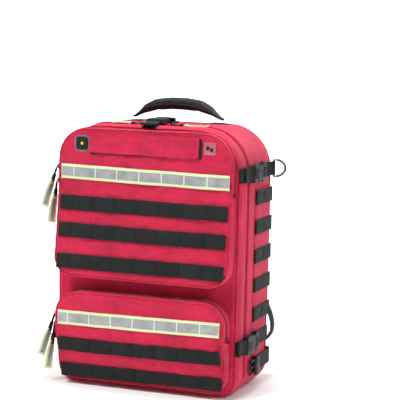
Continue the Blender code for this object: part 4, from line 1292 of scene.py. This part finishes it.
def build_chest_strap(side, label):
    """Half of the chest strap, with its doubled end beside the buckle."""
    node = f"sternum_strap_{label}"
    low, high = node_box(node)
    z, y = (low[2] + high[2]) / 2, low[1]
    ends = (low[0], high[0]) if side > 0 else (high[0], low[0])
    xs = np.linspace(ends[0], ends[1], 44)
    path = np.array([(x, y + 2.9 + 0.4 * wave(x, 0, 0, (22, 1, 1), 1.5), z) for x in xs])
    layers = [strap(path, UPWARD, REARWARD, 20, 1.4)]
    layers.append(strap(path[:18] + (0, 1.4, 0), UPWARD, REARWARD, 19.4, 1.2))
    layers.append(block((xs[20], y + 3.9, z), UPRIGHT, (7, 4.4, 22), 1.0))
    for index in (26, 33, 40):
        layers.append(bartack(path[index] + (0, 1.5, 0), UPWARD, REARWARD, 17, 1.8))
    body = f"sternum_{label}"
    add_piece(f"{node}_webbing", *merge(layers), BLACK_WEB, body, slot="webbing", stands_for=[node])


def build_hip_strap(side, label):
    """A waist strap folded forward along the pack's side, doubled at its buckle's end."""
    node, body = f"hip_strap_{label}", f"hip_{label}"
    low, high = node_box(node)
    z = (low[2] + high[2]) / 2
    corners = ((158, 99), (166, 95), (169.5, 84), (169.8, 62), (169.8, 14))
    path = resample(chaikin([(side * x, y, z) for x, y in corners], 2), 2)
    out = np.cross(frames_along(path), (0, 0, 1)) * side
    layers = [strap(path, UPWARD, out, WEBBING, 1.5)]
    doubled = slice(-24, -2)
    layers.append(strap(path[doubled] + out[doubled] * 1.4, UPWARD, out[doubled], WEBBING - 0.8, 1.2))
    for index in (-21, -16):
        layers.append(bartack(path[index] + out[index] * 2.8, UPWARD, out[index], 20, 1.8))
    add_piece(f"{node}_webbing", *merge(layers), BLACK_WEB, body, slot="webbing", stands_for=[node])


def build_harness_buckles():
    """The chest buckle and both halves of the waist buckle."""
    low, high = node_box("sternum_buckle")
    z, y = (low[2] + high[2]) / 2, high[1]
    detail = [block((x, y, z), UPRIGHT, (1.4, 1.4, 14), 0.4) for x in (-13, -10, 10, 13)]
    detail.append(block((0, y, z), UPRIGHT, (0.8, 0.9, 20), 0.2))
    finer_copy("sternum_buckle", "sternum_buckle_body", BUCKLE_PLASTIC, "sternum_left", 1.4, merge(detail))
    for node, label in (("hip_socket", "left"), ("hip_plug", "right")):
        low, high = node_box(node)
        x = low[0] if label == "left" else high[0]
        y, z = (low[1] + high[1]) / 2, (low[2] + high[2]) / 2
        ribs = [block((x, y + step, z), UPRIGHT, (1.1, 1.5, 16), 0.35) for step in (-3.4, 0, 3.4)]
        finer_copy(node, f"{node}_body", BUCKLE_PLASTIC, f"hip_{label}", extra=merge(ribs))


# Inside the main compartment


def build_interior():
    """The padded shelf and the mesh sleeve on the lid's lining."""

    def rim(x, y, z):
        return abs(x) > 152 or y < -26

    shelf_low, shelf_high = node_box("divider_shelf")
    puffed("divider_shelf", "divider_shelf_pad", LINING, "shelf", 5.0, 1.4, 1.2, rim, slot="mesh")
    front = [(x, shelf_low[1] + 0.6, (shelf_low[2] + shelf_high[2]) / 2) for x in np.linspace(-156, 156, 60)]
    add_piece("divider_shelf_binding", *tube(front, 2.0, 8), BLACK_CLOTH, "shelf", slot="mesh")
    low, high = node_box("lid_mesh_pocket")
    finer_copy("lid_mesh_pocket", "lid_sleeve_mesh", AIR_MESH, "lid", bevel=0.5, slot="mesh")
    hem = block((0, high[1] - 0.75, high[2] - 4), UPRIGHT, (279, 2.6, 10), 0.5)
    foot = block((0, high[1] - 0.75, low[2] + 4), UPRIGHT, (279, 2.4, 7), 0.5)
    add_piece("lid_sleeve_binding", *merge([hem, foot]), BLACK_CLOTH, "lid", slot="webbing")


# Zip sliders and pulls

TAB_TWIST = math.radians(-52)
CORD_RADIUS = 1.15


def pull_place(pivot, direction):
    """A pull's own axes: along its direction, aside in Y, and across both."""
    dx, dz = direction

    def at(along, aside, across=0.0):
        x, y, z = pivot
        return np.array((x + dx * along + dz * across, y + aside, z + dz * along - dx * across))

    return at


def build_pull(label, pivot, direction, cord, tab, twist=0.0):
    """A metal ring, a cord through it, a moulded grip and a folded tape tab with a reflective middle."""
    at = pull_place(pivot, direction)
    body = f"pull_{label}"
    along, aside, across = (at(*unit) - at(0, 0) for unit in np.eye(3))
    turns = np.linspace(0, 2 * math.pi, 20, endpoint=False)
    ring = [at(3.2 - 3.6 * math.cos(turn), 2.6 * math.sin(turn)) for turn in turns]
    add_piece(f"{body}_ring", *tube(ring, 0.75, 6, closed=True), SLIDER_METAL, body, slot="zip_metal")
    knot = cord * 0.55
    bends = [(knot, -1.6), (cord * 0.3, -2.4), (5.4, -1.5), (4.6, 0)]
    bends += [(5.4, 1.5), (cord * 0.3, 2.4), (knot, 1.6)]
    loop = tube(chaikin([at(*bend) for bend in bends], 3), CORD_RADIUS, 8)
    grip = block(at(cord - 2, 0), (along, aside, across), (cord * 0.62, 8.5, 5.0), 1.4)
    ends = []
    for way in (-1, 1):
        route = chaikin([at(knot, way * 1.7), at(cord * 0.8, way * 2.6), at(cord + 4, way * 3)], 2)
        ends.append(tube(route, CORD_RADIUS, 8))
    add_piece(f"{body}_cord", *merge([loop, *ends, grip]), CORD_CLOTH, body, slot="webbing")
    shares = np.linspace(0, 1, 14)
    bend = np.array([at(cord + 1 + tab * share, 0, 0.9 * math.sin(math.pi * share)) for share in shares])
    turns = (twist * shares**0.6)[:, None]
    wide = aside * np.cos(turns) + across * np.sin(turns)
    face = across * np.cos(turns) - aside * np.sin(turns)
    layers = [strap(bend + face * sign * 0.15, wide, face * sign, 13.4, 1.1) for sign in (-1, 1)]
    add_piece(f"{body}_tab", *merge(layers), LIME, body, slot="pull_tab", stands_for=[body])
    bend, wide, face = (rows[2:-1] for rows in (bend, wide, face))
    strips = [strap(bend + face * sign * 1.2, wide, face * sign, 6.4, 0.35) for sign in (-1, 1)]
    add_piece(f"{body}_reflective", *merge(strips), SILVER, body, slot="reflective_tape")


def build_zips():
    rows = (("upper_zip_a", 158.6, -88, 376, 19, 24, 50), ("upper_zip_b", 158.6, -88, 352, 8, 24, 50),
            ("lower_zip_a", 154.2, -101, 124, 19, 30, 52), ("lower_zip_b", 154.2, -101, 108, 9, 34, 52))
    for label, x, y, z, lean, cord, tab in rows:
        lean = math.radians(lean)
        build_pull(label, (-x - 6.8, y, z), (-math.sin(lean), -math.cos(lean)), cord, tab, TAB_TWIST)
        build_slider(label, (-x - 2.5, y, z), ((0, 0, 1), (0, 1, 0), (-1, 0, 0)))
    for label, side, cord, tab in (("main_zip_left", -1, 8, 34), ("main_zip_right", 1, 12, 42)):
        build_pull(label, (side * 37.8, ZIP_Y, HEIGHT + 2.1), (side, 0), cord, tab)
        build_slider(label, (side * 30, ZIP_Y, HEIGHT + 1.75), ((side, 0, 0), (0, 1, 0), (0, 0, 1)))


def build_slider(label, centre, axes):
    """A slider's wedge-shaped plates and the bridge that its ring hangs from."""
    along, out = np.array(axes[0], float), np.array(axes[2], float)
    centre = np.array(centre, float)
    plate = block(centre, axes, (11.5, 6.8, 2.4), 0.9)
    nose = block(centre + along * 2.2, axes, (7, 7.8, 2.0), 0.8)
    arch = ((-4.5, 0.8), (-3, 2.6), (2, 2.9), (4, 0.8))
    bridge_path = chaikin([centre + along * a + out * b for a, b in arch], 2)
    bridge = tube(bridge_path, 0.9, 8)
    node = f"slider_{label}"
    parts = merge([plate, nose, bridge])
    add_piece(f"{node}_body", *parts, SLIDER_METAL, node, slot="zip_metal", stands_for=[node])


# The camera, the light and the floor

VIEW_AZIMUTH, VIEW_ELEVATION, VIEW_ROLL = 22, 9, 1
CAMERA_PLACE = (0.925, -2.3084, 0.6311)
LENS, SENSOR_WIDTH = 130.1, 36
LENS_SHIFT = (0.0987, 0.1145)

# Each light's place and target in metres, its size in metres and its power in watts.
LIGHTS = {
    "key": ((-0.8, -1.5, 2.6), (0, 0, 0.25), 0.6, 64),
    "side": ((2.1, -0.7, 1.9), (0, 0, 0.25), 0.7, 24),
    "top": ((0.1, 0.2, 2.4), (0, 0, 0.3), 1.0, 40),
    "rear": ((0.9, 2.3, 1.9), (0, 0.1, 0.25), 0.8, 18),
    "backdrop": ((-1.0, 2.8, 2.6), (-2.0, 5.6, 0.9), 1.6, 170),
}
SKY_STRENGTH = 0.16

FLOOR_PROFILE = [(1500, 0), (4200, 0), (5200, 0), (5600, 900), (5600, 2600)]
FLOOR_SIDES = 96
FLOOR_DROP = 0.6


def build_camera():
    azimuth, elevation, roll = (math.radians(value) for value in (VIEW_AZIMUTH, VIEW_ELEVATION, VIEW_ROLL))
    back = Vector((math.sin(azimuth) * math.cos(elevation), -math.cos(azimuth) * math.cos(elevation),
                   math.sin(elevation)))
    level = Vector((math.cos(azimuth), math.sin(azimuth), 0))
    upright = back.cross(level)
    right = level * math.cos(roll) + upright * math.sin(roll)
    up = upright * math.cos(roll) - level * math.sin(roll)
    data = bpy.data.cameras.new("camera")
    data.lens, data.sensor_width = LENS, SENSOR_WIDTH
    data.shift_x, data.shift_y = LENS_SHIFT
    data.clip_end = 50
    camera = bpy.data.objects.new("camera", data)
    turned = Matrix((right, up, back)).transposed().to_4x4()
    camera.matrix_world = Matrix.Translation(Vector(CAMERA_PLACE)) @ turned
    bpy.context.scene.collection.objects.link(camera)
    bpy.context.scene.camera = camera


def area_light(name, place, target, size, power):
    data = bpy.data.lights.new(name, "AREA")
    data.shape, data.size, data.energy = "DISK", size, power
    light = bpy.data.objects.new(name, data)
    light.location = place
    light.rotation_mode = "QUATERNION"
    light.rotation_quaternion = (Vector(target) - Vector(place)).to_track_quat("-Z", "Y")
    bpy.context.scene.collection.objects.link(light)


def build_light():
    world = bpy.data.worlds.new("studio")
    world.use_nodes = True
    sky = world.node_tree.nodes["Background"].inputs
    sky["Color"].default_value = (1, 1, 1, 1)
    sky["Strength"].default_value = SKY_STRENGTH
    bpy.context.scene.world = world
    bpy.context.scene.view_settings.view_transform = "Standard"
    for name, light in LIGHTS.items():
        area_light(name, *light)


def build_floor():
    """A pale round floor that curves up into a wall on every side."""
    nodes = Nodes("pale_floor")
    greys = [(0.3, (0.93, 0.93, 0.93)), (0.7, (0.96, 0.96, 0.96))]
    nodes.set("Base Color", nodes.ramp(nodes.noise(3), greys))
    nodes.set("Roughness", 0.85)
    profile = chaikin(FLOOR_PROFILE, 4)
    turns = np.linspace(0, 2 * math.pi, FLOOR_SIDES, endpoint=False)
    rings = [[(radius * math.cos(a), radius * math.sin(a), z - FLOOR_DROP) for a in turns]
             for radius, z in profile]
    points = [tuple(value * MM for value in point) for ring in rings for point in ring]
    faces = [tuple(range(FLOOR_SIDES))]
    for ring in range(len(rings) - 1):
        for index in range(FLOOR_SIDES):
            after = (index + 1) % FLOOR_SIDES
            start, above = ring * FLOOR_SIDES, (ring + 1) * FLOOR_SIDES
            faces.append((start + index, above + index, above + after, start + after))
    mesh = bpy.data.meshes.new("floor")
    mesh.from_pydata(points, [], faces)
    mesh.materials.append(nodes.material)
    mesh.shade_smooth()
    floor = bpy.data.objects.new("floor", mesh)
    bpy.context.scene.collection.objects.link(floor)


build_camera()
build_light()
build_floor()
build_rear_body()
build_lid_body()
build_storm_flap()
build_main_zip()
build_body_piping()
for each_pocket in POCKETS:
    build_pocket_tub(each_pocket)
    build_pocket_zip(each_pocket)
build_webbing_rows(UPPER_POCKET, UPPER_ROWS, 151, (1.6, 1.0, 0.6))
build_webbing_rows(LOWER_POCKET, LOWER_ROWS, 148.5, (-1.0, -1.4))
build_band(UPPER_POCKET, UPPER_BAND_Z, 151.5, 2.4)
build_band(LOWER_POCKET, LOWER_BAND_Z, 147, -1.8)
build_id_cover()
build_patches()
for each_side, each_label in SIDES:
    build_side_panel(each_side, each_label)
    build_d_ring(each_side, each_label)
    build_shoulder(each_side, each_label)
    build_chest_strap(each_side, each_label)
    build_hip_strap(each_side, each_label)
build_straps()
build_handle()
build_back_pad()
build_harness_buckles()
build_interior()
build_zips()
